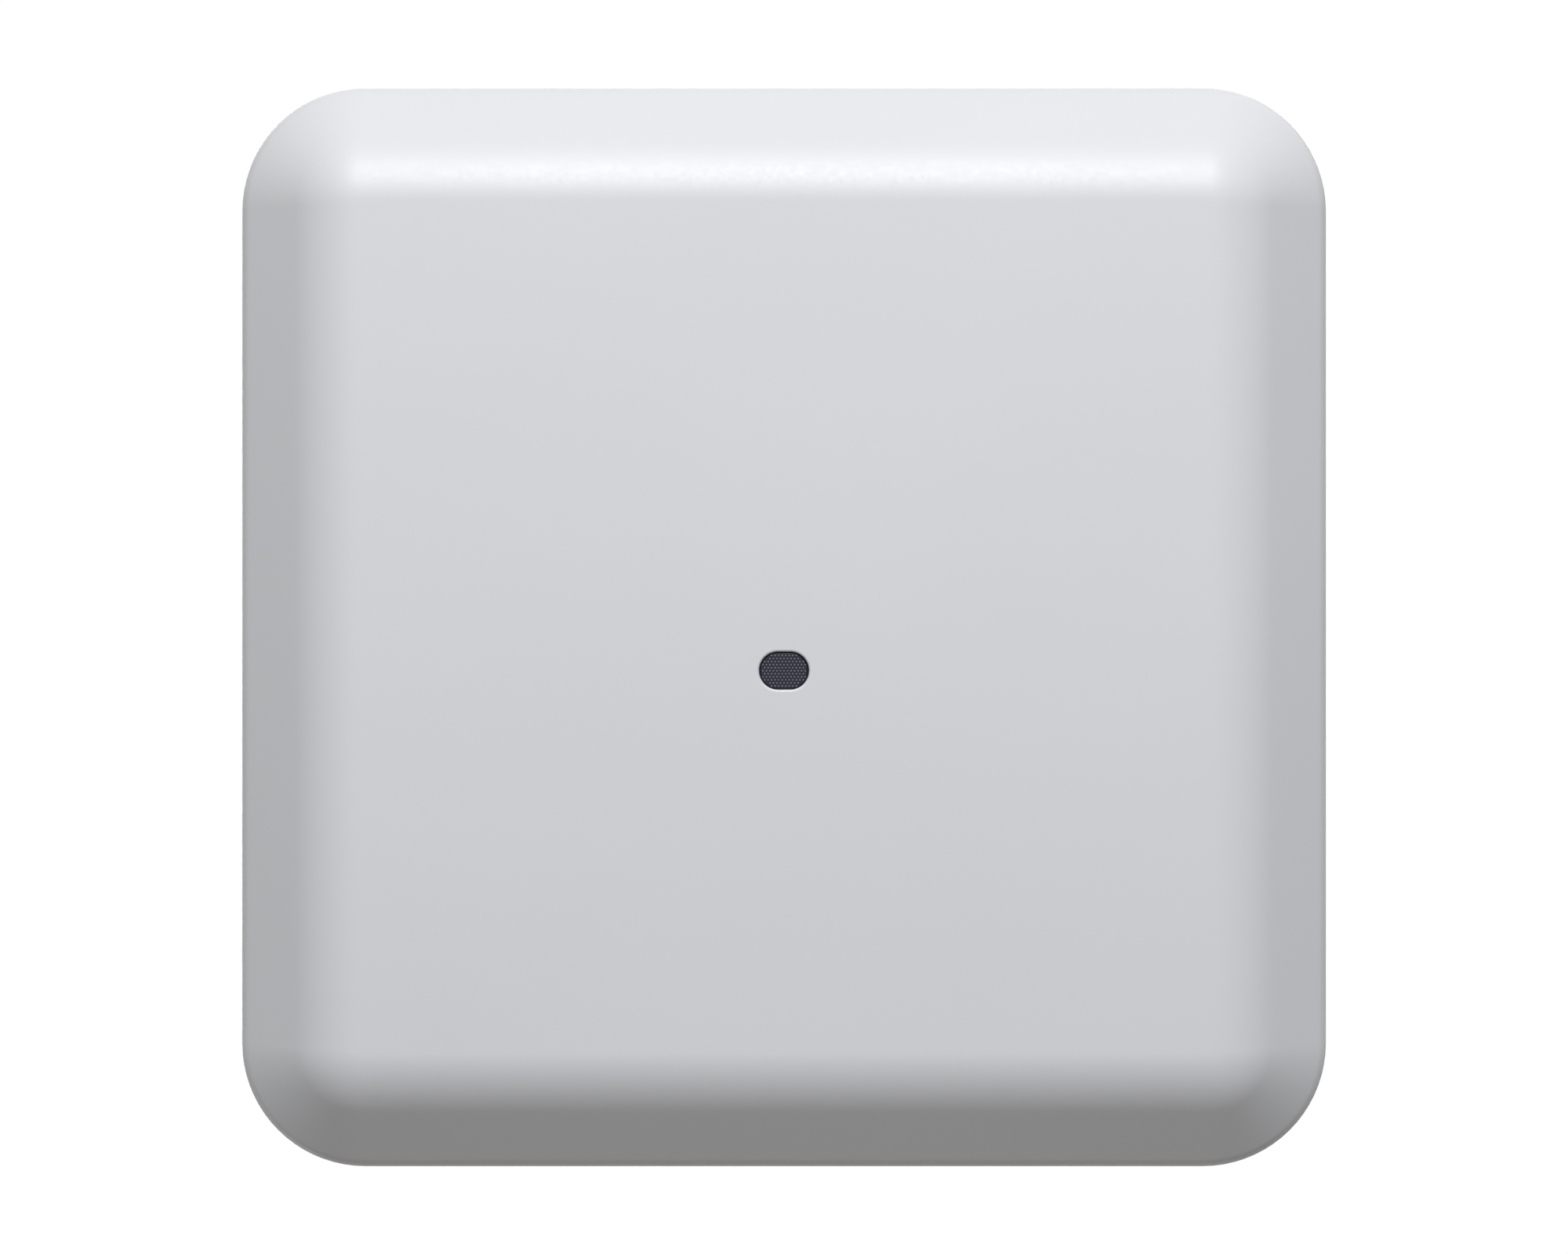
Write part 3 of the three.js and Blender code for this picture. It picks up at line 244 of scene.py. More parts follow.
class Shape:
    """A mesh being shaped, in millimetres."""

    def __init__(self) -> None:
        """Start with an empty mesh that knows which faces are worn edges."""
        self.bm = bmesh.new()
        self.worn = self.bm.faces.layers.float.new("worn")

    @classmethod
    def copy_of(cls, node: bpy.types.Object) -> "Shape":
        """Copy a node of the frame, welded and with its flat faces made whole.

        Args:
            node: The frame's object.

        Returns:
            A shape in millimetres.
        """
        shape = cls()
        shape.bm.from_mesh(node.data)
        shape.worn = shape.bm.faces.layers.float.get("worn") or shape.bm.faces.layers.float.new("worn")
        bmesh.ops.scale(shape.bm, vec=(1 / MM,) * 3, verts=shape.bm.verts)
        bmesh.ops.remove_doubles(shape.bm, verts=shape.bm.verts, dist=0.002)
        bmesh.ops.dissolve_limit(shape.bm, angle_limit=radians(0.5), use_dissolve_boundaries=False,
                                 verts=shape.bm.verts, edges=shape.bm.edges)
        return shape

    def pen(self, *start: float) -> Pen:
        """Put a pen down at a point."""
        return Pen(self.bm, tuple(start))

    def circle(self, radius: float, z: float, x: float = 0.0, y: float = 0.0, sides: int = 32) -> Loop:
        """Draw a level circle.

        Args:
            radius: Its radius.
            z: Its height.
            x: Its centre.
            y: Its centre.
            sides: How many sides it has.

        Returns:
            The loop's edges.
        """
        place = Matrix.Translation((x, y, z))
        made = bmesh.ops.create_circle(self.bm, cap_ends=False, radius=radius, segments=sides, matrix=place)
        return list({e for v in made["verts"] for e in v.link_edges})

    def rounded(self, width: float, length: float, corner: float, z: float,
                x: float = 0.0, y: float = 0.0, steps: int = 6) -> Loop:
        """Draw a level rectangle with round corners.

        Args:
            width: Its size along X.
            length: Its size along Y.
            corner: The radius of its corners.
            z: Its height.
            x: Its centre.
            y: Its centre.
            steps: Straight pieces in each corner.

        Returns:
            The loop's edges.
        """
        half_x, half_y = width / 2 - corner, length / 2 - corner
        pen = self.pen(x + half_x + corner, y - half_y, z)
        for quarter, (sign_x, sign_y) in enumerate(CORNERS):
            centre = Vector((x + sign_x * half_x, y + sign_y * half_y, z))
            angle = quarter * pi / 2
            start = centre + corner * Vector((cos(angle), sin(angle), 0))
            if (start - pen.tip.co).length > WELD:
                pen.line(start)
            pen.arc(centre, 90, steps)
        return pen.close()

    def polygon(self, points: list[Point]) -> Loop:
        """Draw a closed outline through points and return its edges."""
        return self.pen(*points[0]).line(*points[1:]).close()

    def fill(self, *loops: Loop) -> list[bmesh.types.BMFace]:
        """Fill a flat outline, leaving the loops inside it as holes.

        Args:
            loops: The outline and its holes.

        Returns:
            The faces made.
        """
        edges = [e for loop in loops for e in loop]
        made = bmesh.ops.triangle_fill(self.bm, use_beauty=True, use_dissolve=False, edges=edges)
        return [f for f in made["geom"] if isinstance(f, bmesh.types.BMFace)]

    def cap(self, loop: Loop) -> bmesh.types.BMFace:
        """Close a loop with one face and return it."""
        return bmesh.ops.contextual_create(self.bm, geom=loop)["faces"][0]

    def extrude(self, loop: Loop, move: Point) -> Loop:
        """Draw a wall out of a loop.

        Args:
            loop: The edges to draw from.
            move: How far the new edges go.

        Returns:
            The new edges.
        """
        made = bmesh.ops.extrude_edge_only(self.bm, edges=loop)["geom"]
        verts = [g for g in made if isinstance(g, bmesh.types.BMVert)]
        bmesh.ops.translate(self.bm, vec=move, verts=verts)
        return [g for g in made if isinstance(g, bmesh.types.BMEdge)]

    def fold(self, loop: Loop, centre: Point, axis: Point, degrees: float, steps: int = 6) -> Loop:
        """Bend a wall out of straight edges, round an axis.

        Args:
            loop: The edges to bend from.
            centre: A point on the axis.
            axis: The axis of the bend.
            degrees: How far it bends.
            steps: Straight pieces in the bend.

        Returns:
            The bend's last edges.
        """
        made = bmesh.ops.spin(self.bm, geom=loop, cent=centre, axis=axis, angle=radians(degrees),
                              steps=steps,
                              use_merge=False, use_duplicate=False)["geom_last"]
        return [g for g in made if isinstance(g, bmesh.types.BMEdge)]

    def thicken(self, faces: list[bmesh.types.BMFace], move: Point) -> None:
        """Give flat faces a thickness.

        Args:
            faces: The faces to draw out.
            move: The way and how far they go.
        """
        made = bmesh.ops.extrude_face_region(self.bm, geom=faces, use_keep_orig=True)["geom"]
        bmesh.ops.translate(self.bm, vec=move, verts=[g for g in made if isinstance(g, bmesh.types.BMVert)])

    def loft(self, *loops: Loop, start: bool = True, end: bool = True) -> None:
        """Join a stack of loops with walls.

        Args:
            loops: The loops, in order.
            start: Whether the first loop is closed with a face.
            end: Whether the last loop is closed with a face.
        """
        for low, high in zip(loops, loops[1:]):
            bmesh.ops.bridge_loops(self.bm, edges=low + high)
        if start:
            self.cap(loops[0])
        if end:
            self.cap(loops[-1])

    def block(self, low: Point, high: Point) -> list[bmesh.types.BMVert]:
        """Make a box between two corners and return its corners' vertices."""
        size = Vector(high) - Vector(low)
        place = Matrix.Translation((Vector(high) + Vector(low)) / 2) @ Matrix.Diagonal((*size, 1.0))
        return bmesh.ops.create_cube(self.bm, size=1.0, matrix=place)["verts"]

    def turn(self, profile: list[tuple[float, float]], x: float = 0.0, y: float = 0.0,
             sides: int = 32) -> None:
        """Turn a profile about an upright axis.

        Args:
            profile: Radius and height pairs that start and end on the axis, or close on themselves.
            x: The axis.
            y: The axis.
            sides: How many sides the piece has.
        """
        points = [(x + radius, y, z) for radius, z in profile]
        pen = self.pen(*points[0]).line(*points[1:])
        verts = list({v for e in pen.edges for v in e.verts})
        known = set(self.bm.verts) - set(verts)
        bmesh.ops.spin(self.bm, geom=pen.edges + verts, cent=(x, y, 0), axis=UP, angle=2 * pi, steps=sides,
                       use_merge=True, use_duplicate=False)
        made = [v for v in self.bm.verts if v not in known]
        bmesh.ops.remove_doubles(self.bm, verts=made, dist=WELD)

    def soften(self, width: float, segments: int = 2, over: float = 30.0,
               near: Test | None = None) -> "Shape":
        """Round the sharp edges and mark the new faces as worn.

        Args:
            width: How wide the rounding is.
            segments: Flat pieces across it.
            over: The least angle, in degrees, that counts as sharp.
            near: Which edges to round, from an edge's middle, or None for all.

        Returns:
            The shape itself.
        """
        def sharp(edge: bmesh.types.BMEdge) -> bool:
            """Whether an edge is one to round."""
            if len(edge.link_faces) != 2 or edge.calc_face_angle(0.0) < radians(over):
                return False
            return near is None or near((edge.verts[0].co + edge.verts[1].co) / 2)

        self.bm.normal_update()
        edges = [e for e in self.bm.edges if sharp(e)]
        made = bmesh.ops.bevel(self.bm, geom=edges, offset=width, offset_type="OFFSET", affect="EDGES",
                               segments=segments, profile=0.5, material=-1, clamp_overlap=True,
                               loop_slide=False)
        for face in made["faces"]:
            face[self.worn] = 1.0
        return self

    def outward(self) -> "Shape":
        """Weld the shape and turn its faces outwards."""
        bmesh.ops.remove_doubles(self.bm, verts=self.bm.verts, dist=WELD)
        bmesh.ops.recalc_face_normals(self.bm, faces=self.bm.faces)
        return self


def straight(edges: Loop, test: Test) -> Loop:
    """Pick the edges whose two ends both pass a test."""
    return [e for e in edges if all(test(v.co) for v in e.verts)]


@dataclass
class Workshop:
    """Turns finished shapes into pieces that ride on the frame's bodies."""

    frame: dict[str, dict]
    made: list[bpy.types.Object] = field(default_factory=list)

    def node(self, name: str) -> bpy.types.Object:
        """A node of the frame."""
        return self.frame["nodes"][name]

    def piece(self, name: str, shape: Shape, slot: Slot, finishes: list[bpy.types.Material],
              body: Body | None = None, stands_for: tuple[str, ...] = ()) -> bpy.types.Object:
        """Finish one piece.

        Args:
            name: The piece's name.
            shape: Its shape, in millimetres.
            slot: The record's slot its finish belongs to; not used.
            finishes: Its materials, in the order of its faces' numbers.
            body: The body it rides on, or None to leave it on no body, as for a strip that spans two.
            stands_for: The frame's nodes it is shown in place of.

        Returns:
            The piece's object.
        """
        bm = shape.bm
        for face in bm.faces:
            face.smooth = True
        for edge in bm.edges:
            edge.smooth = len(edge.link_faces) == 2 and edge.calc_face_angle(0.0) < SMOOTH_BELOW
        bmesh.ops.scale(bm, vec=(MM,) * 3, verts=bm.verts)
        mesh = bpy.data.meshes.new(name)
        bm.to_mesh(mesh)
        bm.free()
        for finish in finishes:
            mesh.materials.append(finish)
        piece = bpy.data.objects.new(name, mesh)
        bpy.context.scene.collection.objects.link(piece)
        even = piece.modifiers.new("even_shading", "WEIGHTED_NORMAL")
        even.keep_sharp = True
        if body is not None:
            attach(piece, body.value)
        if stands_for:
            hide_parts(*stands_for)
        self.made.append(piece)
        LOG.info("%s: %d faces", name, len(mesh.polygons))
        return piece

    def dress(self, name: str, *finishes: bpy.types.Material) -> None:
        """Give a node of the frame its finish.

        Args:
            name: The node's name.
            finishes: Its materials.
        """
        mesh = self.node(name).data
        mesh.materials.clear()
        for finish in finishes:
            mesh.materials.append(finish)
        LOG.info("%s: dressed", name)


# ------------------------------------------------------------------ finishes


def toned(colour: Colour, gain: float, lift: float = 0.0) -> Colour:
    """A lighter or darker tone of a colour, kept within white."""
    return tuple(min(1.0, c * gain + lift) for c in colour)


class Recipe:
    """Builds one material's nodes from patterns on the piece's own coordinates."""

    def __init__(self, name: str) -> None:
        """Start a material with one principled shader.

        Args:
            name: The material's name.
        """
        self.material = bpy.data.materials.new(name)
        self.material.use_nodes = True
        self.tree = self.material.node_tree
        self.shader = next(n for n in self.tree.nodes if n.type == "BSDF_PRINCIPLED")
        self.place = self.tree.nodes.new("ShaderNodeTexCoord").outputs["Object"]
        self.normal = None

    def node(self, kind: str, **inputs: object) -> bpy.types.ShaderNode:
        """Add a node.

        Args:
            kind: The node's type, without its usual prefix.
            inputs: Values or sockets by input name, with spaces written as underscores.

        Returns:
            The node.
        """
        node = self.tree.nodes.new("ShaderNode" + kind)
        for name, value in inputs.items():
            self.feed(node.inputs[name.replace("_", " ")], value)
        return node

    def feed(self, socket: Socket, value: object) -> None:
        """Link a socket, or set its value."""
        if isinstance(value, bpy.types.NodeSocket):
            self.tree.links.new(value, socket)
        else:
            socket.default_value = value

    def math(self, operation: str, first: Value, second: Value = 0.0) -> Socket:
        """Do one sum.

        Args:
            operation: The sum's name.
            first: A number or socket.
            second: A number or socket.

        Returns:
            The result's socket.
        """
        node = self.tree.nodes.new("ShaderNodeMath")
        node.operation = operation
        self.feed(node.inputs[0], first)
        self.feed(node.inputs[1], second)
        return node.outputs[0]

    def stretched(self, x: float = 1.0, y: float = 1.0, z: float = 1.0, turn: float = 0.0) -> Socket:
        """The piece's coordinates, stretched along its axes and turned about the upright one."""
        node = self.node("Mapping", Vector=self.place, Scale=(x, y, z), Rotation=(0.0, 0.0, radians(turn)))
        return node.outputs["Vector"]

    def grain(self, size: float, detail: float = 2.0, rough: float = 0.5, place: Socket | None = None,
              warp: float = 0.0) -> Socket:
        """Soft grain of a size in millimetres.

        Args:
            size: The size of the grain.
            detail: Finer layers in it.
            rough: How strong the finer layers are.
            place: The coordinates it reads, or None for the piece's own.
            warp: How much it is twisted.

        Returns:
            A socket from 0 to 1.
        """
        node = self.node("TexNoise", Vector=place or self.place, Scale=1 / (size * MM), Detail=detail,
                         Roughness=rough, Distortion=warp)
        return node.outputs["Fac"]

    def cells(self, size: float, output: str = "Distance") -> Socket:
        """Cells of a size in millimetres.

        Args:
            size: The size of a cell.
            output: Which of their outputs is wanted.

        Returns:
            The output's socket.
        """
        return self.node("TexVoronoi", Vector=self.place, Scale=1 / (size * MM)).outputs[output]

    def between(self, factor: Value, low: float, high: float, to_low: float = 0.0,
                to_high: float = 1.0) -> Socket:
        """Map part of a pattern's range onto another.

        Args:
            factor: The pattern.
            low: Its value that gives to_low.
            high: Its value that gives to_high.
            to_low: The lowest result.
            to_high: The highest result.

        Returns:
            The result's socket.
        """
        node = self.tree.nodes.new("ShaderNodeMapRange")
        for socket, value in zip(node.inputs, (factor, low, high, to_low, to_high)):
            self.feed(socket, value)
        return node.outputs["Result"]

    def blend(self, factor: Value, first: Paint, second: Paint) -> Socket:
        """Mix two colours.

        Args:
            factor: How much of the second, as a number or socket.
            first: A colour or socket.
            second: A colour or socket.

        Returns:
            The colour's socket.
        """
        node = self.tree.nodes.new("ShaderNodeMix")
        node.data_type = "RGBA"
        for socket, value in zip((node.inputs[0], node.inputs[6], node.inputs[7]), (factor, first, second)):
            if isinstance(value, tuple):
                value = (*value, 1.0)
            self.feed(socket, value)
        return node.outputs[2]

    def worn_edges(self, size: float, keep: float = 0.45) -> Socket:
        """Where the piece's edges are worn, broken up by a grain.

        Args:
            size: The size of the breaks in millimetres.
            keep: How much of the edge stays unworn.

        Returns:
            A socket from 0 to 1.
        """
        node = self.tree.nodes.new("ShaderNodeAttribute")
        node.attribute_name = "worn"
        broken = self.between(self.grain(size, 3.0, 0.6), keep - 0.1, keep + 0.15)
        return self.math("MULTIPLY", node.outputs["Fac"], broken)

    def bump(self, height: Socket, depth: float, strength: float = 1.0) -> None:
        """Press a pattern into the surface.

        Args:
            height: The pattern.
            depth: How deep it is, in millimetres.
            strength: How much of it shows.
        """
        node = self.node("Bump", Height=height, Distance=depth * MM, Strength=strength)
        if self.normal is not None:
            self.tree.links.new(self.normal, node.inputs["Normal"])
        self.normal = node.outputs["Normal"]

    def surface(self, colour: Paint, roughness: Value, **others: Value) -> bpy.types.Material:
        """Finish the material.

        Args:
            colour: The base colour, as numbers or a socket.
            roughness: The roughness, as a number or a socket.
            others: Other inputs of the shader, with spaces written as underscores.

        Returns:
            The material.
        """
        self.feed(self.shader.inputs["Base Color"], (*colour, 1.0) if isinstance(colour, tuple) else colour)
        self.feed(self.shader.inputs["Roughness"], roughness)
        for name, value in others.items():
            self.feed(self.shader.inputs[name.replace("_", " ")], value)
        if self.normal is not None:
            self.tree.links.new(self.normal, self.shader.inputs["Normal"])
        return self.material


@dataclass(frozen=True)
class MouldedPlastic:
    """Matt moulded plastic with a spark-eroded grain."""

    name: str
    colour: Colour
    shade: Colour
    roughness: float = 0.5
    grain: float = 0.28
    depth: float = 0.006
    specular: float = 0.5

    def make(self) -> bpy.types.Material:
        """Build the material."""
        mix = Recipe(self.name)
        drift = mix.grain(60.0, 2.0, 0.5)
        fine = mix.grain(self.grain, 1.0, 0.5)
        speck = mix.between(mix.grain(self.grain * 4, 2.0, 0.7), 0.35, 0.65)
        colour = mix.blend(mix.between(drift, 0.3, 0.7), self.colour, self.shade)
        colour = mix.blend(mix.math("MULTIPLY", mix.worn_edges(1.5), 0.25), colour,
                           toned(self.colour, 1.12, 0.01))
        rough = mix.between(speck, 0.0, 1.0, self.roughness - 0.04, self.roughness + 0.04)
        mix.bump(fine, self.depth, 0.5)
        mix.bump(speck, self.depth * 1.2, 0.3)
        return mix.surface(colour, rough, Specular_IOR_Level=self.specular)


@dataclass(frozen=True)
class PlatedSheet:
    """Rolled and plated sheet metal, with crystals in its plating and brighter cut edges."""

    name: str
    colour: Colour
    shade: Colour
    roughness: float = 0.34
    crystal: float = 3.0
    crystal_contrast: float = 1.0
    rolled: float = 0.0

    def make(self) -> bpy.types.Material:
        """Build the material."""
        mix = Recipe(self.name)
        twist = mix.cells(self.crystal, output="Color")
        patch = mix.node("SeparateColor", Color=twist).outputs[0]
        drift = mix.grain(22.0, 3.0, 0.6)
        lines = mix.grain(0.35, 2.0, 0.6, place=mix.stretched(1.0, 0.03, 1.0, self.rolled))
        tone = mix.math("ADD", mix.math("MULTIPLY", patch, 0.55 * self.crystal_contrast),
                        mix.math("MULTIPLY", drift, 0.6))
        colour = mix.blend(mix.between(tone, 0.15, 0.95), self.colour, self.shade)
        bright = toned(self.colour, 1.25)
        colour = mix.blend(mix.worn_edges(1.2, 0.4), colour, bright)
        stain = mix.between(mix.grain(7.0, 4.0, 0.7, warp=0.6), 0.6, 0.75)
        rough = mix.math("ADD", mix.between(mix.math("ADD", patch, lines), 0.2, 1.6,
                                            self.roughness - 0.06, self.roughness + 0.1),
                         mix.math("MULTIPLY", stain, 0.12))
        mix.bump(lines, 0.004, 0.5)
        mix.bump(mix.grain(9.0, 2.0, 0.5), 0.05, 0.25)
        return mix.surface(colour, rough, Metallic=1.0)


@dataclass(frozen=True)
class TurnedSteel:
    """Turned and plated steel, with tool lines round it."""

    name: str
    colour: Colour
    shade: Colour
    roughness: float = 0.3
    line: float = 0.12

    def make(self) -> bpy.types.Material:
        """Build the material."""
        mix = Recipe(self.name)
        rings = mix.grain(self.line, 1.0, 0.5, place=mix.stretched(0.02, 0.02, 1.0))
        drift = mix.grain(1.8, 3.0, 0.6)
        colour = mix.blend(mix.between(drift, 0.3, 0.7), self.colour, self.shade)
        colour = mix.blend(mix.worn_edges(0.5), colour, toned(self.colour, 1.3))
        rough = mix.between(mix.math("ADD", rings, drift), 0.5, 1.5, self.roughness - 0.07,
                            self.roughness + 0.12)
        mix.bump(rings, 0.01, 0.5)
        return mix.surface(colour, rough, Metallic=1.0)


@dataclass(frozen=True)
class CastMetal:
    """Die-cast and blasted metal with flow marks, rubbed edges and painted shade in its pits."""

    name: str
    colour: Colour
    shade: Colour
    roughness: float = 0.52

    def make(self) -> bpy.types.Material:
        """Build the material."""
        mix = Recipe(self.name)
        flow = mix.grain(35.0, 5.0, 0.55, place=mix.stretched(1.0, 0.5, 1.0, 18.0), warp=1.4)
        skin = mix.grain(0.55, 3.0, 0.65)
        pits = mix.between(mix.cells(1.1), 0.0, 0.22)
        colour = mix.blend(mix.between(flow, 0.35, 0.65), self.colour, self.shade)
        # Painted shade: the middle of each pit is painted darker, up to 35 percent of a deep tone.
        painted_pit_shade = toned(self.shade, 0.72)
        colour = mix.blend(mix.between(pits, 1.0, 0.0, 0.0, 0.35), colour, painted_pit_shade)
        colour = mix.blend(mix.worn_edges(2.2, 0.42), colour, toned(self.colour, 1.22))
        rough = mix.between(mix.math("ADD", skin, flow), 0.6, 1.4, self.roughness - 0.08,
                            self.roughness + 0.1)
        mix.bump(skin, 0.035, 0.7)
        mix.bump(pits, 0.03, 0.35)
        mix.bump(mix.grain(14.0, 2.0, 0.5), 0.12, 0.2)
        return mix.surface(colour, rough, Metallic=0.9)


@dataclass(frozen=True)
class SoftRubber:
    """Matt rubber or silicone with a dusting of fine specks."""

    name: str
    colour: Colour
    dust: Colour
    roughness: float = 0.8

    def make(self) -> bpy.types.Material:
        """Build the material."""
        mix = Recipe(self.name)
        speck = mix.between(mix.grain(0.4, 3.0, 0.7), 0.56, 0.72)
        drift = mix.grain(12.0, 3.0, 0.6)
        amount = mix.math("MULTIPLY", mix.math("ADD", speck, mix.between(drift, 0.45, 0.8)), 0.35)
        rough = mix.between(drift, 0.3, 0.7, self.roughness - 0.08, self.roughness + 0.06)
        mix.bump(mix.grain(0.22, 2.0, 0.6), 0.015, 0.6)
        return mix.surface(mix.blend(amount, self.colour, self.dust), rough)


@dataclass(frozen=True)
class SolderMask:
    """Green board lacquer over copper tracks."""

    name: str
    colour: Colour = (0.010, 0.075, 0.040)
    track: Colour = (0.022, 0.135, 0.062)

    def make(self) -> bpy.types.Material:
        """Build the material."""
        mix = Recipe(self.name)
        bands = mix.node("TexBrick", Vector=mix.stretched(turn=45.0), Scale=1 / (5.0 * MM),
                         Mortar_Size=0.09,
                         Brick_Width=0.9, Row_Height=0.22)
        tracks = bands.outputs["Fac"]
        vias = mix.between(mix.cells(2.4), 0.1, 0.14, 1.0, 0.0)
        drift = mix.grain(16.0, 2.0, 0.5)
        colour = mix.blend(mix.between(drift, 0.3, 0.7), self.colour, toned(self.colour, 1.25))
        colour = mix.blend(mix.math("MULTIPLY", tracks, 0.8), colour, self.track)
        colour = mix.blend(mix.math("MULTIPLY", vias, 0.8), colour, (0.55, 0.42, 0.2))
        mix.bump(tracks, 0.035, 0.6)
        return mix.surface(colour, mix.between(drift, 0.3, 0.7, 0.28, 0.38))


@dataclass(frozen=True)
class ClearPlastic:
    """Clear moulded acrylic."""

    name: str
    colour: Colour
    roughness: float = 0.12

    def make(self) -> bpy.types.Material:
        """Build the material."""
        mix = Recipe(self.name)
        drift = mix.grain(3.0, 3.0, 0.6)
        mix.bump(mix.grain(0.8, 2.0, 0.5), 0.01, 0.3)
        colour = mix.blend(mix.between(drift, 0.3, 0.7), self.colour, toned(self.colour, 0.94))
        rough = mix.between(drift, 0.3, 0.7, self.roughness - 0.03, self.roughness + 0.05)
        return mix.surface(colour, rough, Transmission_Weight=0.85, IOR=1.49)


@dataclass(frozen=True)
class BlankFilm:
    """Blank printed film."""

    name: str
    colour: Colour

    def make(self) -> bpy.types.Material:
        """Build the material."""
        mix = Recipe(self.name)
        fibre = mix.grain(0.5, 3.0, 0.6)
        drift = mix.grain(9.0, 3.0, 0.6)
        colour = mix.blend(mix.between(drift, 0.35, 0.7), self.colour, toned(self.colour, 0.93))
        mix.bump(fibre, 0.008, 0.4)
        return mix.surface(colour, mix.between(drift, 0.3, 0.7, 0.42, 0.52))


class Palette:
    """Every finish of the access point, made once."""

    def __init__(self) -> None:
        """Make the finishes."""
        self.cover = MouldedPlastic("cover_white", (0.800, 0.802, 0.806), (0.790, 0.792, 0.797),
                                    0.40).make()
        self.bracket = PlatedSheet("bracket_zinc", (0.66, 0.67, 0.69), (0.50, 0.52, 0.55)).make()
        self.clip = PlatedSheet("clip_zinc", (0.68, 0.685, 0.69), (0.54, 0.55, 0.565), 0.3, 1.6, 0.7,
                                90.0).make()
        self.screw = TurnedSteel("screw_zinc", (0.70, 0.70, 0.69), (0.52, 0.53, 0.54), 0.28).make()
        self.stud = TurnedSteel("stud_steel", (0.62, 0.63, 0.65), (0.48, 0.49, 0.51), 0.26).make()
        self.spring = PlatedSheet("spring_strip", (0.46, 0.465, 0.48), (0.30, 0.31, 0.335), 0.26, 14.0,
                                  0.25).make()
        self.casting = CastMetal("base_aluminium", (0.60, 0.605, 0.615), (0.46, 0.47, 0.485)).make()
        self.seal = SoftRubber("seal_rubber", (0.030, 0.031, 0.034), (0.12, 0.12, 0.125)).make()
        self.label = BlankFilm("label_film", (0.80, 0.80, 0.785)).make()
        self.rule = MouldedPlastic("label_rule", (0.20, 0.20, 0.21), (0.17, 0.17, 0.18), 0.5, 0.2,
                                   0.002).make()
        self.lens = MouldedPlastic("lens_smoked", (0.022, 0.022, 0.036), (0.016, 0.017, 0.028), 0.3, 0.5,
                                   0.001, 0.35).make()
        self.dot = MouldedPlastic("lens_dot", (0.24, 0.25, 0.31), (0.19, 0.20, 0.26), 0.45, 0.3,
                                  0.001).make()
        self.acrylic = ClearPlastic("light_pipe_acrylic", (0.93, 0.95, 0.96)).make()
        self.led = ClearPlastic("led_phosphor", (0.92, 0.82, 0.42), 0.35).make()
        self.board = SolderMask("board_green").make()
        self.shield = PlatedSheet("shield_tin", (0.70, 0.71, 0.72), (0.58, 0.59, 0.60), 0.32, 1.1,
                                  0.4).make()
        self.pad = SoftRubber("pad_silicone", (0.22, 0.31, 0.42), (0.38, 0.44, 0.50)).make()
        self.jack = PlatedSheet("jack_nickel", (0.72, 0.705, 0.67), (0.64, 0.63, 0.60), 0.42, 5.0,
                                0.08).make()
        self.black = MouldedPlastic("black_moulded", (0.020, 0.020, 0.022), (0.014, 0.014, 0.016), 0.42,
                                    0.2,
                                    0.008).make()
        self.gold = TurnedSteel("contact_gold", (0.80, 0.58, 0.24), (0.70, 0.48, 0.18), 0.22).make()
        self.bronze = PlatedSheet("antenna_bronze", (0.62, 0.38, 0.20), (0.50, 0.29, 0.15), 0.3, 6.0,
                                  0.4).make()
        self.jacket = SoftRubber("lead_jacket", (0.030, 0.030, 0.032), (0.07, 0.07, 0.075), 0.5).make()


@dataclass
class SubAssembly:
    """A group of pieces, with the workshop that makes them and the finishes they wear."""

    shop: Workshop
    palette: Palette


# ------------------------------------------------------------------ cover and status window


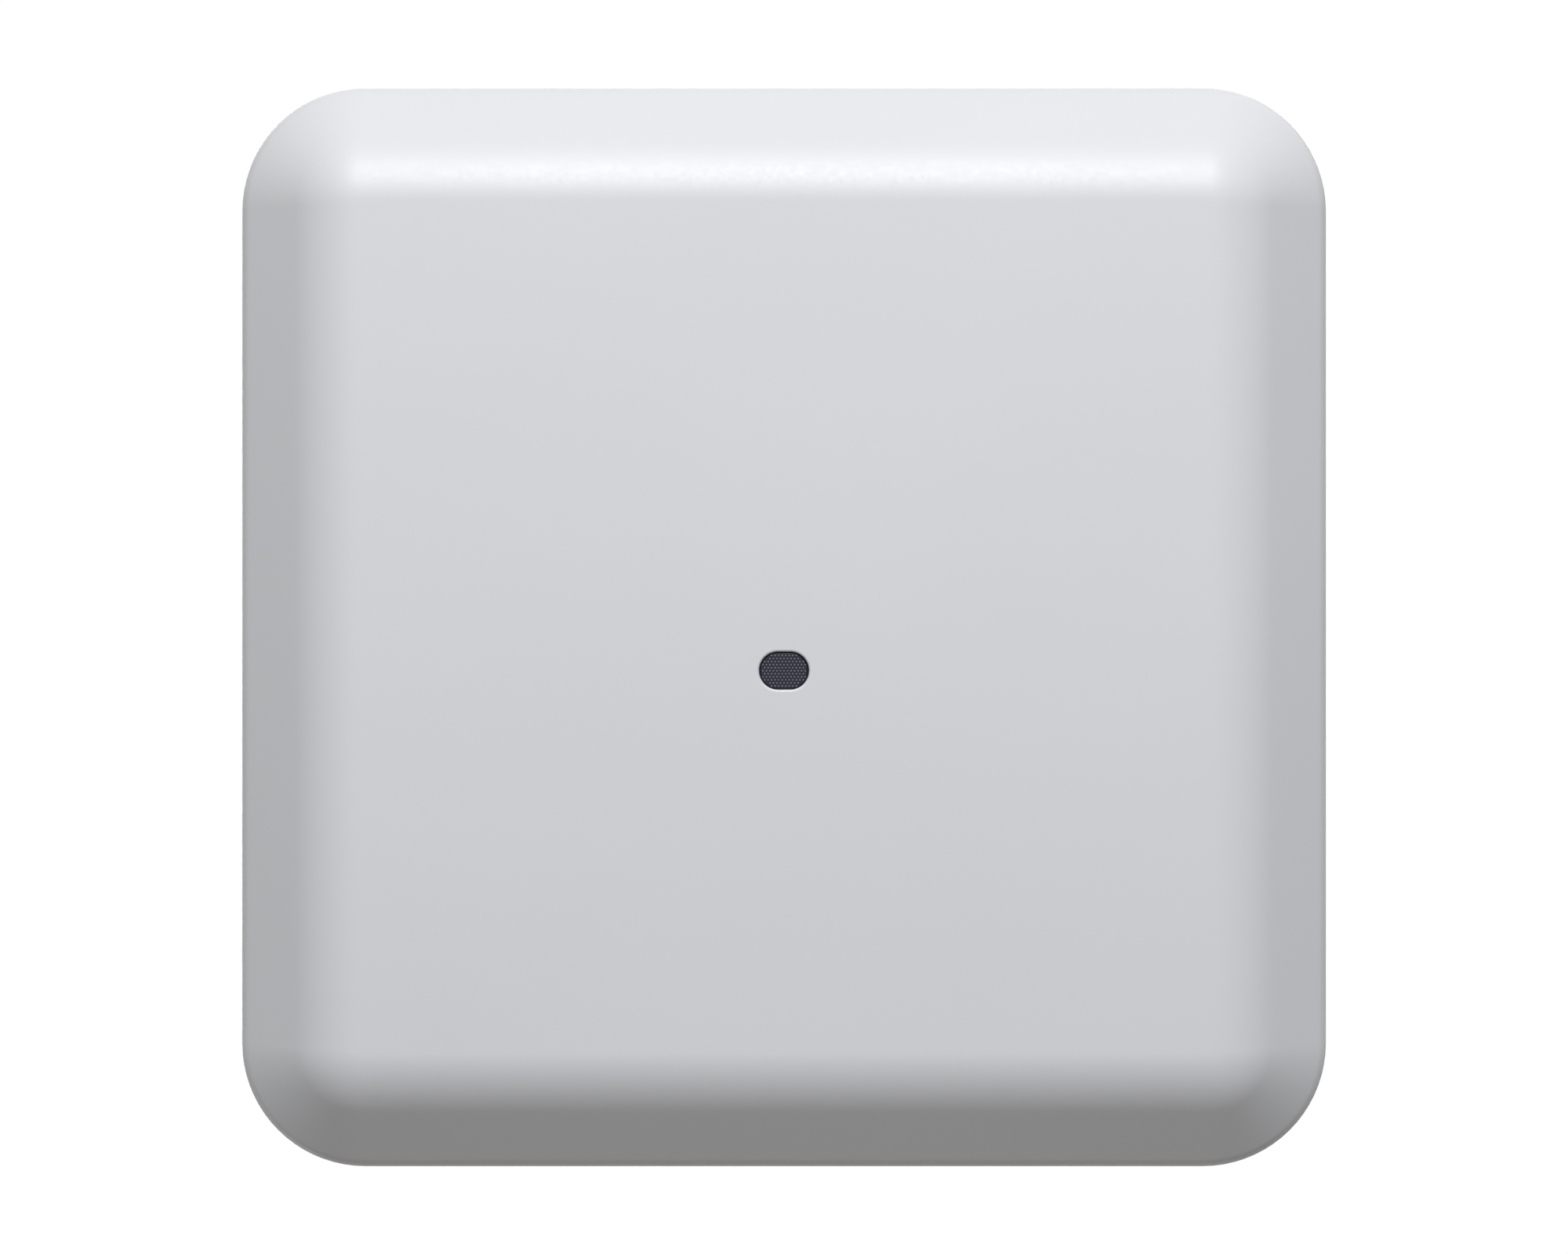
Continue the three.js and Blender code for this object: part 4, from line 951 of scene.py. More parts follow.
@dataclass
class RadomeCover(SubAssembly):
    """The moulded white cover: flat face, bend, slope, rounded edge and drafted skirt."""

    width: float = 220.4
    length: float = 219.4
    corner: float = 25.5
    wall: float = 2.5
    skirt_height: float = 9.5
    draft: float = radians(3)
    edge_radius: float = 5.1
    slope: float = radians(39)
    slope_run: float = 10.3
    bend_radius: float = 19.5
    window_width: float = 9.9
    window_length: float = 7.5
    window_y: float = 8.7
    window_edge: float = 0.5
    boss_inset: float = 23.7
    corner_steps: int = 18

    @property
    def face_z(self) -> float:
        """Height of the flat face."""
        edge_drop = self.edge_radius * (cos(self.slope) - sin(self.draft))
        bend_drop = self.bend_radius * (1 - cos(self.slope))
        return LEVELS.cover_rim - self.skirt_height - edge_drop - self.slope_run * tan(self.slope) - bend_drop

    def section(self, shape: Shape, depth: float) -> Loop:
        """Draw the cover's section at one corner's +X side, rim first.

        Args:
            shape: The shape that takes it.
            depth: How far inside the outer surface it runs.

        Returns:
            The section's edges.
        """
        x, y = self.width / 2 - self.corner, self.length / 2 - self.corner
        edge_x = x + self.corner - self.skirt_height * tan(self.draft) - self.edge_radius * cos(self.draft)
        edge_z = LEVELS.cover_rim - self.skirt_height + self.edge_radius * sin(self.draft)
        bend_x = edge_x + (self.edge_radius - self.bend_radius) * sin(self.slope) - self.slope_run
        bend_z = self.face_z + self.bend_radius
        edge, bend = self.edge_radius - depth, self.bend_radius - depth
        pen = shape.pen(x + self.corner - depth / cos(self.draft), y, LEVELS.cover_rim)
        pen.line((edge_x + edge * cos(self.draft), y, edge_z - edge * sin(self.draft)))
        sweep = 90 - (self.draft + self.slope) * 180 / pi
        pen.arc((edge_x, y, edge_z), sweep, 8, ALONG_Y)
        pen.line((bend_x + bend * sin(self.slope), y, bend_z - bend * cos(self.slope)))
        pen.arc((bend_x, y, bend_z), self.slope * 180 / pi, 14, ALONG_Y)
        return pen.edges

    def shell(self, shape: Shape, depth: float) -> tuple[Loop, Loop]:
        """Make one surface of the cover, all but its flat face.

        Args:
            shape: The shape that takes it.
            depth: How far inside the outer surface it runs.

        Returns:
            The rim's loop and the flat face's loop.
        """
        known = set(shape.bm.verts)
        section = self.section(shape, depth)
        x, y = self.width / 2 - self.corner, self.length / 2 - self.corner
        end = shape.fold(section, (x, y, 0), UP, 90, self.corner_steps)
        shape.extrude(section, (0, -y, 0))
        shape.extrude(end, (-x, 0, 0))
        for axis in ("X", "Y"):
            quarter = [v for v in shape.bm.verts if v not in known]
            geometry = quarter + list({e for v in quarter for e in v.link_edges})
            geometry += list({f for v in quarter for f in v.link_faces})
            bmesh.ops.mirror(shape.bm, geom=geometry, matrix=Matrix.Identity(4), merge_dist=WELD, axis=axis)
        made = [v for v in shape.bm.verts if v not in known]
        bmesh.ops.remove_doubles(shape.bm, verts=made, dist=WELD)
        open_edges = [e for e in shape.bm.edges if e.is_boundary and e.verts[0] not in known]
        face = self.face_z + depth
        return (straight(open_edges, lambda co: abs(co.z - LEVELS.cover_rim) < NEAR),
                straight(open_edges, lambda co: abs(co.z - face) < NEAR))

    def window(self, shape: Shape, grow: float, z: float) -> Loop:
        """Draw the status window's opening.

        Args:
            shape: The shape that takes it.
            grow: How much wider than the opening it is on each side.
            z: Its height.

        Returns:
            The loop's edges.
        """
        length = self.window_length + 2 * grow
        return shape.rounded(self.window_width + 2 * grow, length, length / 2 - 0.01, z, 0, self.window_y,
                             12)

    def build(self) -> None:
        """Mould the cover and its four screw bosses."""
        shape = Shape()
        outer_rim, outer_face = self.shell(shape, 0.0)
        inner_rim, inner_face = self.shell(shape, self.wall)
        steps = 5
        lips = []
        for step in range(steps + 1):
            angle = step / steps * pi / 2
            grow = self.window_edge * (1 - sin(angle))
            lips.append(self.window(shape, grow, self.face_z + self.window_edge * (1 - cos(angle))))
        inside = self.window(shape, 0.0, self.face_z + self.wall)
        shape.fill(outer_face, lips[0])
        shape.fill(inner_face, inside)
        shape.loft(*lips, inside, start=False, end=False)
        bmesh.ops.bridge_loops(shape.bm, edges=outer_rim + inner_rim)
        shape.outward()
        shape.soften(0.35, 3, 60, lambda co: abs(co.z - LEVELS.cover_rim) < 0.05)
        top, root = LEVELS.boss_top, self.face_z + self.wall - 0.8
        for sign_x, sign_y in CORNERS:
            x = sign_x * (self.width / 2 - self.boss_inset)
            y = sign_y * (self.length / 2 - self.boss_inset)
            shape.turn([(0, top - 11), (1.7, top - 11), (1.7, top - 0.4), (2.0, top), (3.8, top),
                        (4.0, top - 0.3),
                        (4.2, root + 3), (4.8, root + 1.4), (6.0, root), (0, root)], x, y, 24)
        shape.outward()
        self.shop.piece("radome_cover_moulded", shape, Slot.COVER, [self.palette.cover], Body.UNIT,
                        ("radome_cover",))


@dataclass
class StatusWindow(SubAssembly):
    """The smoked status window with its printed dot grid, its light pipe and its LED."""

    cover: RadomeCover
    width: float = 9.7
    length: float = 7.3
    recess: float = 0.65
    flange: float = 1.5
    flange_thickness: float = 1.0
    dot_pitch: float = 0.70
    row_pitch: float = 0.606
    dot_radius: float = 0.17
    dot_margin: float = 0.35
    dot_columns: int = 8
    edge: float = 0.3

    def build(self) -> None:
        """Make the window and dress what is behind it."""
        y = self.cover.window_y
        front = self.cover.face_z + self.recess
        ledge = self.cover.face_z + self.cover.wall + 0.3
        shape = Shape()

        def ring(grow: float, z: float) -> Loop:
            """Draw the window's outline, grown on each side."""
            length = self.length + 2 * grow
            return shape.rounded(self.width + 2 * grow, length, length / 2 - 0.01, z, 0, y, 10)

        edge = self.edge
        rounding = [ring(-edge + edge * sin(radians(a)), front + edge - edge * cos(radians(a)))
                    for a in (0, 30, 60, 90)]
        shape.loft(*rounding, ring(0, ledge), ring(self.flange, ledge),
                   ring(self.flange, ledge + self.flange_thickness))
        shape.outward()
        self.shop.piece("status_lens_smoked", shape, Slot.LENS, [self.palette.lens], Body.UNIT,
                        ("status_lens",))

        dots = Shape()
        reach_x, reach_y = self.width / 2 - self.dot_margin, self.length / 2 - self.dot_margin
        straight_x = self.width / 2 - self.length / 2
        rows = int(reach_y / self.row_pitch)
        for row in range(-rows, rows + 1):
            shift = self.dot_pitch / 2 if row % 2 else 0.0
            for column in range(-self.dot_columns, self.dot_columns + 1):
                dot_x, dot_y = column * self.dot_pitch + shift, row * self.row_pitch
                over = max(abs(dot_x) - straight_x, 0.0)
                if over * over + dot_y * dot_y > reach_y * reach_y or abs(dot_x) > reach_x:
                    continue
                base = dots.circle(self.dot_radius, front + 0.02, dot_x, y + dot_y, 10)
                top = dots.circle(self.dot_radius * 0.8, front - 0.012, dot_x, y + dot_y, 10)
                dots.loft(base, top)
        dots.outward()
        self.shop.piece("status_dot_grid", dots, Slot.LENS, [self.palette.dot], Body.UNIT)
        self.shop.dress("light_pipe", self.palette.acrylic)
        self.shop.dress("status_led", self.palette.led)


@dataclass
class CoverGasket(SubAssembly):
    """The rubber seal between the cover's rim and the base."""

    cover: RadomeCover
    inset: float = 1.0
    width: float = 1.3
    rounding: float = 0.3

    def build(self) -> None:
        """Mould the seal."""
        shape = Shape()
        low, high, r = LEVELS.gasket_bottom, LEVELS.gasket_top, self.rounding
        near, far = self.inset, self.inset + self.width
        section = [(near + r, low), (near, low + r), (near, high - r), (near + r, high),
                   (far - r, high), (far, high - r), (far, low + r), (far - r, low)]
        loops = [shape.rounded(self.cover.width - 2 * i, self.cover.length - 2 * i, self.cover.corner - i,
                               z,
                               steps=12) for i, z in section]
        shape.loft(*loops, loops[0], start=False, end=False)
        shape.outward()
        self.shop.piece("cover_gasket_moulded", shape, Slot.SEAL, [self.palette.seal], Body.UNIT,
                        ("cover_gasket",))


# ------------------------------------------------------------------ screws and studs


@dataclass(frozen=True)
class PanScrew:
    """A pan head screw with a cross recess and rolled threads."""

    shank: float
    head: float
    head_height: float
    pitch: float = 0.7

    def build(self, x: float, y: float, seat: float, tip: float, turn: float) -> Shape:
        """Make one screw.

        Args:
            x: Its axis.
            y: Its axis.
            seat: The height its head sits on.
            tip: The height of its point.
            turn: How far its recess is turned, in degrees.

        Returns:
            The screw's shape.
        """
        shape = Shape()
        length, r, top = abs(seat - tip), self.head, self.head_height
        profile = [(0, -length), (self.shank * 0.5, -length),
                   (self.shank * 0.8, -length + self.shank * 0.6)]
        z = -length + self.shank * 0.8
        while z < -self.pitch:
            profile += [(self.shank, z + self.pitch * 0.25), (self.shank * 0.84, z + self.pitch * 0.75)]
            z += self.pitch
        profile += [(self.shank * 0.84, 0.0), (r - 0.15, 0.0), (r, 0.15), (r, top * 0.45)]
        profile += [(r - (r * 0.38) * (1 - cos(radians(a))), top * 0.45 + top * 0.55 * sin(radians(a)))
                    for a in (22, 45, 67, 90)]
        shape.turn(profile, sides=28)
        rim = [e for e in shape.bm.edges if e.is_boundary and e.verts[0].co.z > 0.0]
        reach, half = r * 0.52, r * 0.13
        outline = [(reach, -half), (reach, half), (half, half), (half, reach), (-half, reach),
                   (-half, half),
                   (-reach, half), (-reach, -half), (-half, -half), (-half, -reach), (half, -reach),
                   (half, -half)]
        recess = shape.polygon([(px, py, top) for px, py in outline])
        shape.fill(rim, recess)
        floor = shape.extrude(recess, (0, 0, -top * 0.7))
        verts = list({v for e in floor for v in e.verts})
        bmesh.ops.scale(shape.bm, vec=(0.6, 0.6, 1.0), verts=verts)
        shape.fill(floor)
        shape.outward()
        facing = Matrix.Identity(4) if seat > tip else Matrix.Rotation(pi, 4, "X")
        place = Matrix.Translation((x, y, seat)) @ facing @ Matrix.Rotation(radians(turn), 4, "Z")
        bmesh.ops.transform(shape.bm, matrix=place, verts=shape.bm.verts)
        return shape


@dataclass
class Fasteners(SubAssembly):
    """The screws of the cover, the board, the clips and the jaws, and the mounting studs."""

    cover_screw: PanScrew = PanScrew(1.4, 2.8, 2.2)
    board_screw: PanScrew = PanScrew(1.2, 2.6, 1.8, 0.6)
    clip_screw: PanScrew = PanScrew(1.4, 2.8, 1.8, 0.6)
    jaw_screw: PanScrew = PanScrew(1.7, 3.6, 2.2)

    def screw(self, node: str, kind: PanScrew, body: Body, up: bool,
              turn: float) -> None:
        """Make a screw where the frame has one.

        Args:
            node: The frame's screw.
            kind: The sort of screw.
            body: The body it rides on.
            up: Whether its head points up.
            turn: How far its recess is turned, in degrees.
        """
        low, high = (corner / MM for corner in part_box(node))
        seat = high.z - kind.head_height if up else low.z + kind.head_height
        tip = low.z if up else high.z
        shape = kind.build((low.x + high.x) / 2, (low.y + high.y) / 2, seat, tip, turn)
        self.shop.piece(node + "_turned", shape, Slot.SCREW, [self.palette.screw], body, (node,))

    def studs(self) -> None:
        """Turn the four headed studs that hang in the bracket's keyholes."""
        back, plate, head = LEVELS.base_back, LEVELS.keyhole_bottom - 0.3, LEVELS.keyhole_top + 0.3
        top = head + 2.0
        profile = [(0, back - 6), (1.4, back - 6), (2.0, back - 5.2), (2.0, back + 0.3), (5.2, back + 0.3),
                   (5.5, back + 0.5), (5.5, plate - 0.2), (5.3, plate), (2.9, plate), (2.55, plate + 0.15),
                   (2.4, plate + 0.5), (2.4, head - 0.15), (2.55, head), (4.6, head), (4.8, head + 0.2),
                   (4.8, top - 0.75), (4.6, top - 0.4), (4.2, top - 0.12), (3.7, top), (1.5, top),
                   (1.3, top - 0.15), (0.5, top - 0.6), (0, top - 0.7)]
        for index, (sign_x, sign_y) in enumerate(CORNERS):
            shape = Shape()
            shape.turn(profile, sign_x * LAYOUT.stud_x, sign_y * LAYOUT.stud_y, 40)
            shape.outward()
            node = f"mounting_stud_{index + 1}"
            self.shop.piece(node + "_turned", shape, Slot.SCREW, [self.palette.stud], Body.UNIT, (node,))

    def build(self) -> None:
        """Make every fastener."""
        for index in range(1, 5):
            self.screw(f"cover_screw_{index}", self.cover_screw, Body.UNIT, True, 23.0 * index)
            self.screw(f"board_screw_{index}", self.board_screw, Body.UNIT, False, 31.0 * index)
        for side in Side:
            for letter, turn in (("a", 12.0), ("b", 51.0)):
                node = f"clip_screw_{side.word}_{letter}"
                self.screw(node, self.clip_screw, Body.BRACKET, False, turn * side.value)
            self.screw(f"jaw_screw_{side.word}", self.jaw_screw, Body.BRACKET, False, 35.0)
        self.studs()


# ------------------------------------------------------------------ bracket, clips and latch


@dataclass
class CeilingBracket(SubAssembly):
    """The pressed steel pan with its keyholes, folded rims and cable notch."""

    width: float = 160.0
    length: float = 144.0
    corner: float = 10.0
    pan_width: float = 84.0
    pan_length: float = 82.0
    pan_corner: float = 9.0
    pan_depth: float = 6.5
    flank_run: float = 3.0
    press_radius: float = 2.0
    foot_radius: float = 1.5
    rim_half: float = 56.0
    rim_top: float = -3.0
    fold_radius: float = 1.0
    relief: float = 1.5
    notch_half: float = 22.0
    notch_end: float = -25.0
    notch_corner: float = 5.0
    keyhole_travel: float = 10.0
    keyhole_neck: float = 2.7
    keyhole_head: float = 5.4
    hook_half: float = 7.3
    slot_place: float = 33.0

    def flank(self, shape: Shape) -> tuple[Loop, Loop]:
        """Press the pan's flank, open at the cable notch.

        Args:
            shape: The shape that takes it.

        Returns:
            The flank's top edges and its bottom edges.
        """
        angle = atan2(self.pan_depth, self.flank_run)
        top, foot = self.press_radius, self.foot_radius
        near, far = top * tan(angle / 2), self.flank_run + foot * tan(angle / 2)
        steps = 5
        section = [(-near + top * sin(angle * i / steps), -top + top * cos(angle * i / steps))
                   for i in range(steps + 1)]
        section += [(far - foot * sin(angle * (1 - i / steps)),
                     LEVELS.keyhole_top + foot - foot * cos(angle * (1 - i / steps))) for i in range(steps + 1)]
        run, z = section[0]
        half_x, half_y, r = self.pan_width / 2 + run, self.pan_length / 2 + run, self.pan_corner
        pen = shape.pen(self.notch_half, -half_y, z)
        pen.line((half_x - r, -half_y, z)).arc((half_x - r, -half_y + r, z), 90, 8)
        pen.line((half_x, half_y - r, z)).arc((half_x - r, half_y - r, z), 90, 8)
        pen.line((-half_x + r, half_y, z)).arc((-half_x + r, half_y - r, z), 90, 8)
        pen.line((-half_x, -half_y + r, z)).arc((-half_x + r, -half_y + r, z), 90, 8)
        pen.line((-self.notch_half, -half_y, z))
        edges = pen.edges
        for (last_run, last_z), (next_run, next_z) in zip(section, section[1:]):
            edges = shape.extrude(edges, (0, 0, next_z - last_z))
            out = next_run - last_run
            for vert in {v for e in edges for v in e.verts}:
                vert.co.y += out if vert.co.y > 0 else -out
                if abs(vert.co.x) > self.notch_half + 0.1:
                    vert.co.x += out if vert.co.x > 0 else -out
        return pen.edges, edges

    def pan_top(self, shape: Shape, flank: Loop) -> None:
        """Fill the pan's ceiling face, with its slots, hook openings and screw holes.

        Args:
            shape: The shape that takes it.
            flank: The flank's top edges.
        """
        ends = [v for e in flank for v in e.verts if abs(abs(v.co.x) - self.notch_half) < NEAR]
        right = max(ends, key=lambda v: v.co.x).co.copy()
        r = self.notch_corner
        pen = shape.pen(*right).line((self.notch_half, self.notch_end - r, 0))
        pen.arc((self.notch_half - r, self.notch_end - r, 0), 90,
                6).line((r - self.notch_half, self.notch_end, 0))
        pen.arc((r - self.notch_half, self.notch_end - r, 0), 90, 6).line((-self.notch_half, right.y, 0))
        for sign_x, sign_y in CORNERS:
            shape.rounded(11.0, 5.2, 2.59, 0, self.slot_place * sign_x, self.slot_place * sign_y, 8)
            x = LAYOUT.clip_x * sign_x + LAYOUT.clip_screw_spread * sign_y
            shape.circle(LAYOUT.clip_screw_hole, 0, x, LAYOUT.clip_screw_y, 24)
        for side in Side:
            x = LAYOUT.clip_x * side.value
            shape.rounded(2 * self.hook_half, 1.8, 0.4, 0, x, 13.6, 3)
            shape.rounded(2 * self.hook_half, 9.8, 1.0, 0, x, -17.6, 4)
        bmesh.ops.remove_doubles(shape.bm, verts=shape.bm.verts, dist=WELD)
        edges = [e for e in shape.bm.edges if abs(e.verts[0].co.z) < WELD and abs(e.verts[1].co.z) < WELD]
        shape.fill(edges)

    def keyhole(self, shape: Shape, x: float, y: float) -> Loop:
        """Draw one keyhole: a neck slot that ends in a round hole for the stud's head.

        Args:
            shape: The shape that takes it.
            x: The stud's axis.
            y: The stud's axis.

        Returns:
            The loop's edges.
        """
        z, neck, head = LEVELS.keyhole_top, self.keyhole_neck, self.keyhole_head
        hole_y = y + self.keyhole_travel
        half = atan2(neck, (head * head - neck * neck) ** 0.5)
        pen = shape.pen(x + neck, y, z).line((x + neck, hole_y - head * cos(half), z))
        pen.arc((x, hole_y, z), 360 - 2 * half * 180 / pi, 28)
        pen.line((x - neck, y, z)).arc((x, y, z), 180, 12)
        return pen.close()

    def keyhole_plate(self, shape: Shape, flank: Loop) -> None:
        """Fill the lower plate round the pan, with its keyholes and the latch's openings.

        Args:
            shape: The shape that takes it.
            flank: The flank's bottom edges.
        """
        z, r = LEVELS.keyhole_top, self.corner
        x, y = self.width / 2, self.length / 2
        fold_x = x - LEVELS.sheet - self.fold_radius
        inner = min(v.co.y for e in flank for v in e.verts)
        step = self.rim_half + self.relief
        pen = shape.pen(self.notch_half, inner, z).line((self.notch_half, -y, z), (x - r, -y, z))
        pen.arc((x - r, -y + r, z), 90, 8)
        pen.line((x, -step, z), (fold_x - 1, -step, z), (fold_x - 1, -self.rim_half, z),
                 (fold_x, -self.rim_half, z),
                 (fold_x, self.rim_half, z), (fold_x - 1, self.rim_half, z), (fold_x - 1, step, z),
                 (x, step, z))
        pen.line((x, y - r, z)).arc((x - r, y - r, z), 90,
                                    8).line((r - x, y, z)).arc((r - x, y - r, z), 90, 8)
        pen.line((-x, step, z), (1 - fold_x, step, z), (1 - fold_x, self.rim_half, z),
                 (-fold_x, self.rim_half, z),
                 (-fold_x, -self.rim_half, z), (1 - fold_x, -self.rim_half, z), (1 - fold_x, -step, z),
                 (-x, -step, z))
        pen.line((-x, r - y, z)).arc((r - x, r - y, z), 90, 8)
        pen.line((-self.notch_half, -y, z), (-self.notch_half, inner, z))
        for sign_x, sign_y in CORNERS:
            self.keyhole(shape, LAYOUT.stud_x * sign_x, LAYOUT.stud_y * sign_y)
        shape.rounded(9.0, 3.6, 0.6, z, 0, 62.8, 4)
        shape.circle(LAYOUT.rivet_hole, z, 0, LAYOUT.rivet_y, 24)
        bmesh.ops.remove_doubles(shape.bm, verts=shape.bm.verts, dist=WELD)
        edges = [e for e in shape.bm.edges if all(abs(v.co.z - z) < WELD for v in e.verts)]
        shape.fill(edges)

    def rims(self, shape: Shape) -> None:
        """Fold the two long rims up.

        Args:
            shape: The shape that takes them.
        """
        fold_x = self.width / 2 - LEVELS.sheet - self.fold_radius
        turn_z = LEVELS.keyhole_top + self.fold_radius
        for sign in (1, -1):
            line = [e for e in shape.bm.edges if e.is_boundary
                    and all(abs(v.co.x - sign * fold_x) < NEAR and abs(v.co.y) < self.rim_half + NEAR
                            for v in e.verts)]
            bend = shape.fold(line, (sign * fold_x, 0, turn_z), ALONG_Y, -90 * sign, 6)
            shape.extrude(bend, (0, 0, self.rim_top - turn_z))

    def build(self) -> None:
        """Press the bracket."""
        shape = Shape()
        top, bottom = self.flank(shape)
        self.pan_top(shape, top)
        self.keyhole_plate(shape, bottom)
        self.rims(shape)
        sheet_solid(shape, LEVELS.sheet, upper=True)
        shape.soften(0.22, 2, 50)
        self.shop.piece("mounting_bracket_pressed", shape, Slot.BRACKET, [self.palette.bracket],
                        Body.BRACKET,
                   ("mounting_bracket",))


def sheet_solid(shape: Shape, thickness: float, upper: bool) -> None:
    """Turn one surface of a sheet into the whole sheet.

    Args:
        shape: The surface.
        thickness: The sheet's thickness.
        upper: Whether the surface is the sheet's upper one, so that the sheet grows below it.
    """
    bm = shape.bm
    bmesh.ops.remove_doubles(bm, verts=bm.verts, dist=WELD)
    bmesh.ops.recalc_face_normals(bm, faces=bm.faces)
    lift = sum(f.normal.z * f.calc_area() for f in bm.faces)
    if (lift < 0) == upper:
        bmesh.ops.reverse_faces(bm, faces=bm.faces)
    bm.normal_update()
    bmesh.ops.solidify(bm, geom=bm.faces[:], thickness=thickness)
    bmesh.ops.recalc_face_normals(bm, faces=bm.faces)


@dataclass
class GridClip(SubAssembly):
    """One side's fixed hook and sliding jaw for a tee bar of a ceiling grid."""

    side: Side
    width: float = 20.0
    sheet: float = 1.2
    strap_low: float = -12.4
    strap_high: float = 25.2
    strap_top: float = -1.8
    tee_edge: float = 13.0
    lip: float = 5.0
    lip_low: float = 1.5
    hook_width: float = 14.0
    jaw_top: float = -3.3
    jaw_tail: float = 9.0
    bend: float = 0.6
    jaw_bend: float = 0.8
    jaw_corner: float = 1.5
    softening: float = 0.16

    @property
    def x(self) -> float:
        """The clip's middle along X."""
        return self.side.value * LAYOUT.clip_x

    def strap(self) -> Shape:
        """Blank the flat strap with its three screw holes and fold its hook."""
        shape = Shape()
        middle, length = (self.strap_low + self.strap_high) / 2, self.strap_high - self.strap_low
        loops = [shape.rounded(self.width, length, 2.0, self.strap_top, self.x, middle, 5),
                 shape.circle(2.0, self.strap_top, self.x, -4.0, 28),
                 *(shape.circle(LAYOUT.clip_screw_hole, self.strap_top,
                                self.x + sign * LAYOUT.clip_screw_spread,
                                LAYOUT.clip_screw_y, 24) for sign in (-1, 1))]
        shape.thicken(shape.fill(*loops), (0, 0, -self.sheet))
        shape.outward()
        self.hook(shape, self.strap_top - self.sheet + 0.2)
        shape.outward()
        return shape.soften(self.softening, 2, 50)

    def hook(self, shape: Shape, foot: float) -> None:
        """Fold the upright and lip that reach over one edge of the tee bar.

        Args:
            shape: The shape that takes it.
            foot: The height it starts from.
        """
        x, half = self.x, self.hook_width / 2
        inner, t, r = self.tee_edge, self.sheet, self.bend
        outline = shape.pen(x - half, inner, foot)
        outline.line((x - half, inner, self.lip_low - r))
        outline.arc((x - half, inner - r, self.lip_low - r), 90, 5, ALONG_X)
        outline.line((x - half, inner - self.lip, self.lip_low),
                     (x - half, inner - self.lip, self.lip_low + t),
                     (x - half, inner - r, self.lip_low + t))
        outline.arc((x - half, inner - r, self.lip_low - r), -90, 8, ALONG_X)
        outline.line((x - half, inner + t, foot))
        faces = shape.fill(outline.close())
        shape.thicken(faces, (self.hook_width, 0, 0))

    def jaw(self) -> Shape:
        """Blank the jaw's slotted tongue and fold its hook."""
        shape = Shape()
        x, half, z = self.x, self.hook_width / 2, self.jaw_top
        low = self.jaw_bend - self.tee_edge
        corner = self.jaw_corner
        pen = shape.pen(x - half, low, z).line((x + half, low, z), (x + half, self.jaw_tail - corner, z))
        pen.arc((x + half - corner, self.jaw_tail - corner, z), 90,
                4).line((x - half + corner, self.jaw_tail, z))
        pen.arc((x - half + corner, self.jaw_tail - corner, z), 90, 4)
        slot = shape.rounded(4.0, 12.0, 1.99, z, x, 0.0, 8)
        faces = shape.fill(pen.close(), slot)
        bmesh.ops.recalc_face_normals(shape.bm, faces=faces)
        edge = straight([e for e in shape.bm.edges if e.is_boundary], lambda co: abs(co.y - low) < NEAR)
        bend = shape.fold(edge, (x, low, z + self.jaw_bend), ALONG_X, -90, 6)
        up = shape.extrude(bend, (0, 0, self.lip_low - self.bend - (z + self.jaw_bend)))
        over = shape.fold(up, (x, -self.tee_edge + self.bend, self.lip_low - self.bend), ALONG_X, -90, 5)
        shape.extrude(over, (0, self.lip - self.bend, 0))
        sheet_solid(shape, self.sheet, upper=True)
        return shape.soften(self.softening, 2, 50)

    def build(self) -> None:
        """Make the clip and its jaw."""
        word = self.side.word
        self.shop.piece(f"grid_clip_{word}_folded", self.strap(), Slot.CLIP, [self.palette.clip],
                        Body.BRACKET,
                   (f"grid_clip_{word}",))
        body = Body.JAW_LEFT if self.side is Side.LEFT else Body.JAW_RIGHT
        self.shop.piece(f"clip_jaw_{word}_folded", self.jaw(), Slot.CLIP, [self.palette.clip], body,
                        (f"clip_jaw_{word}",))


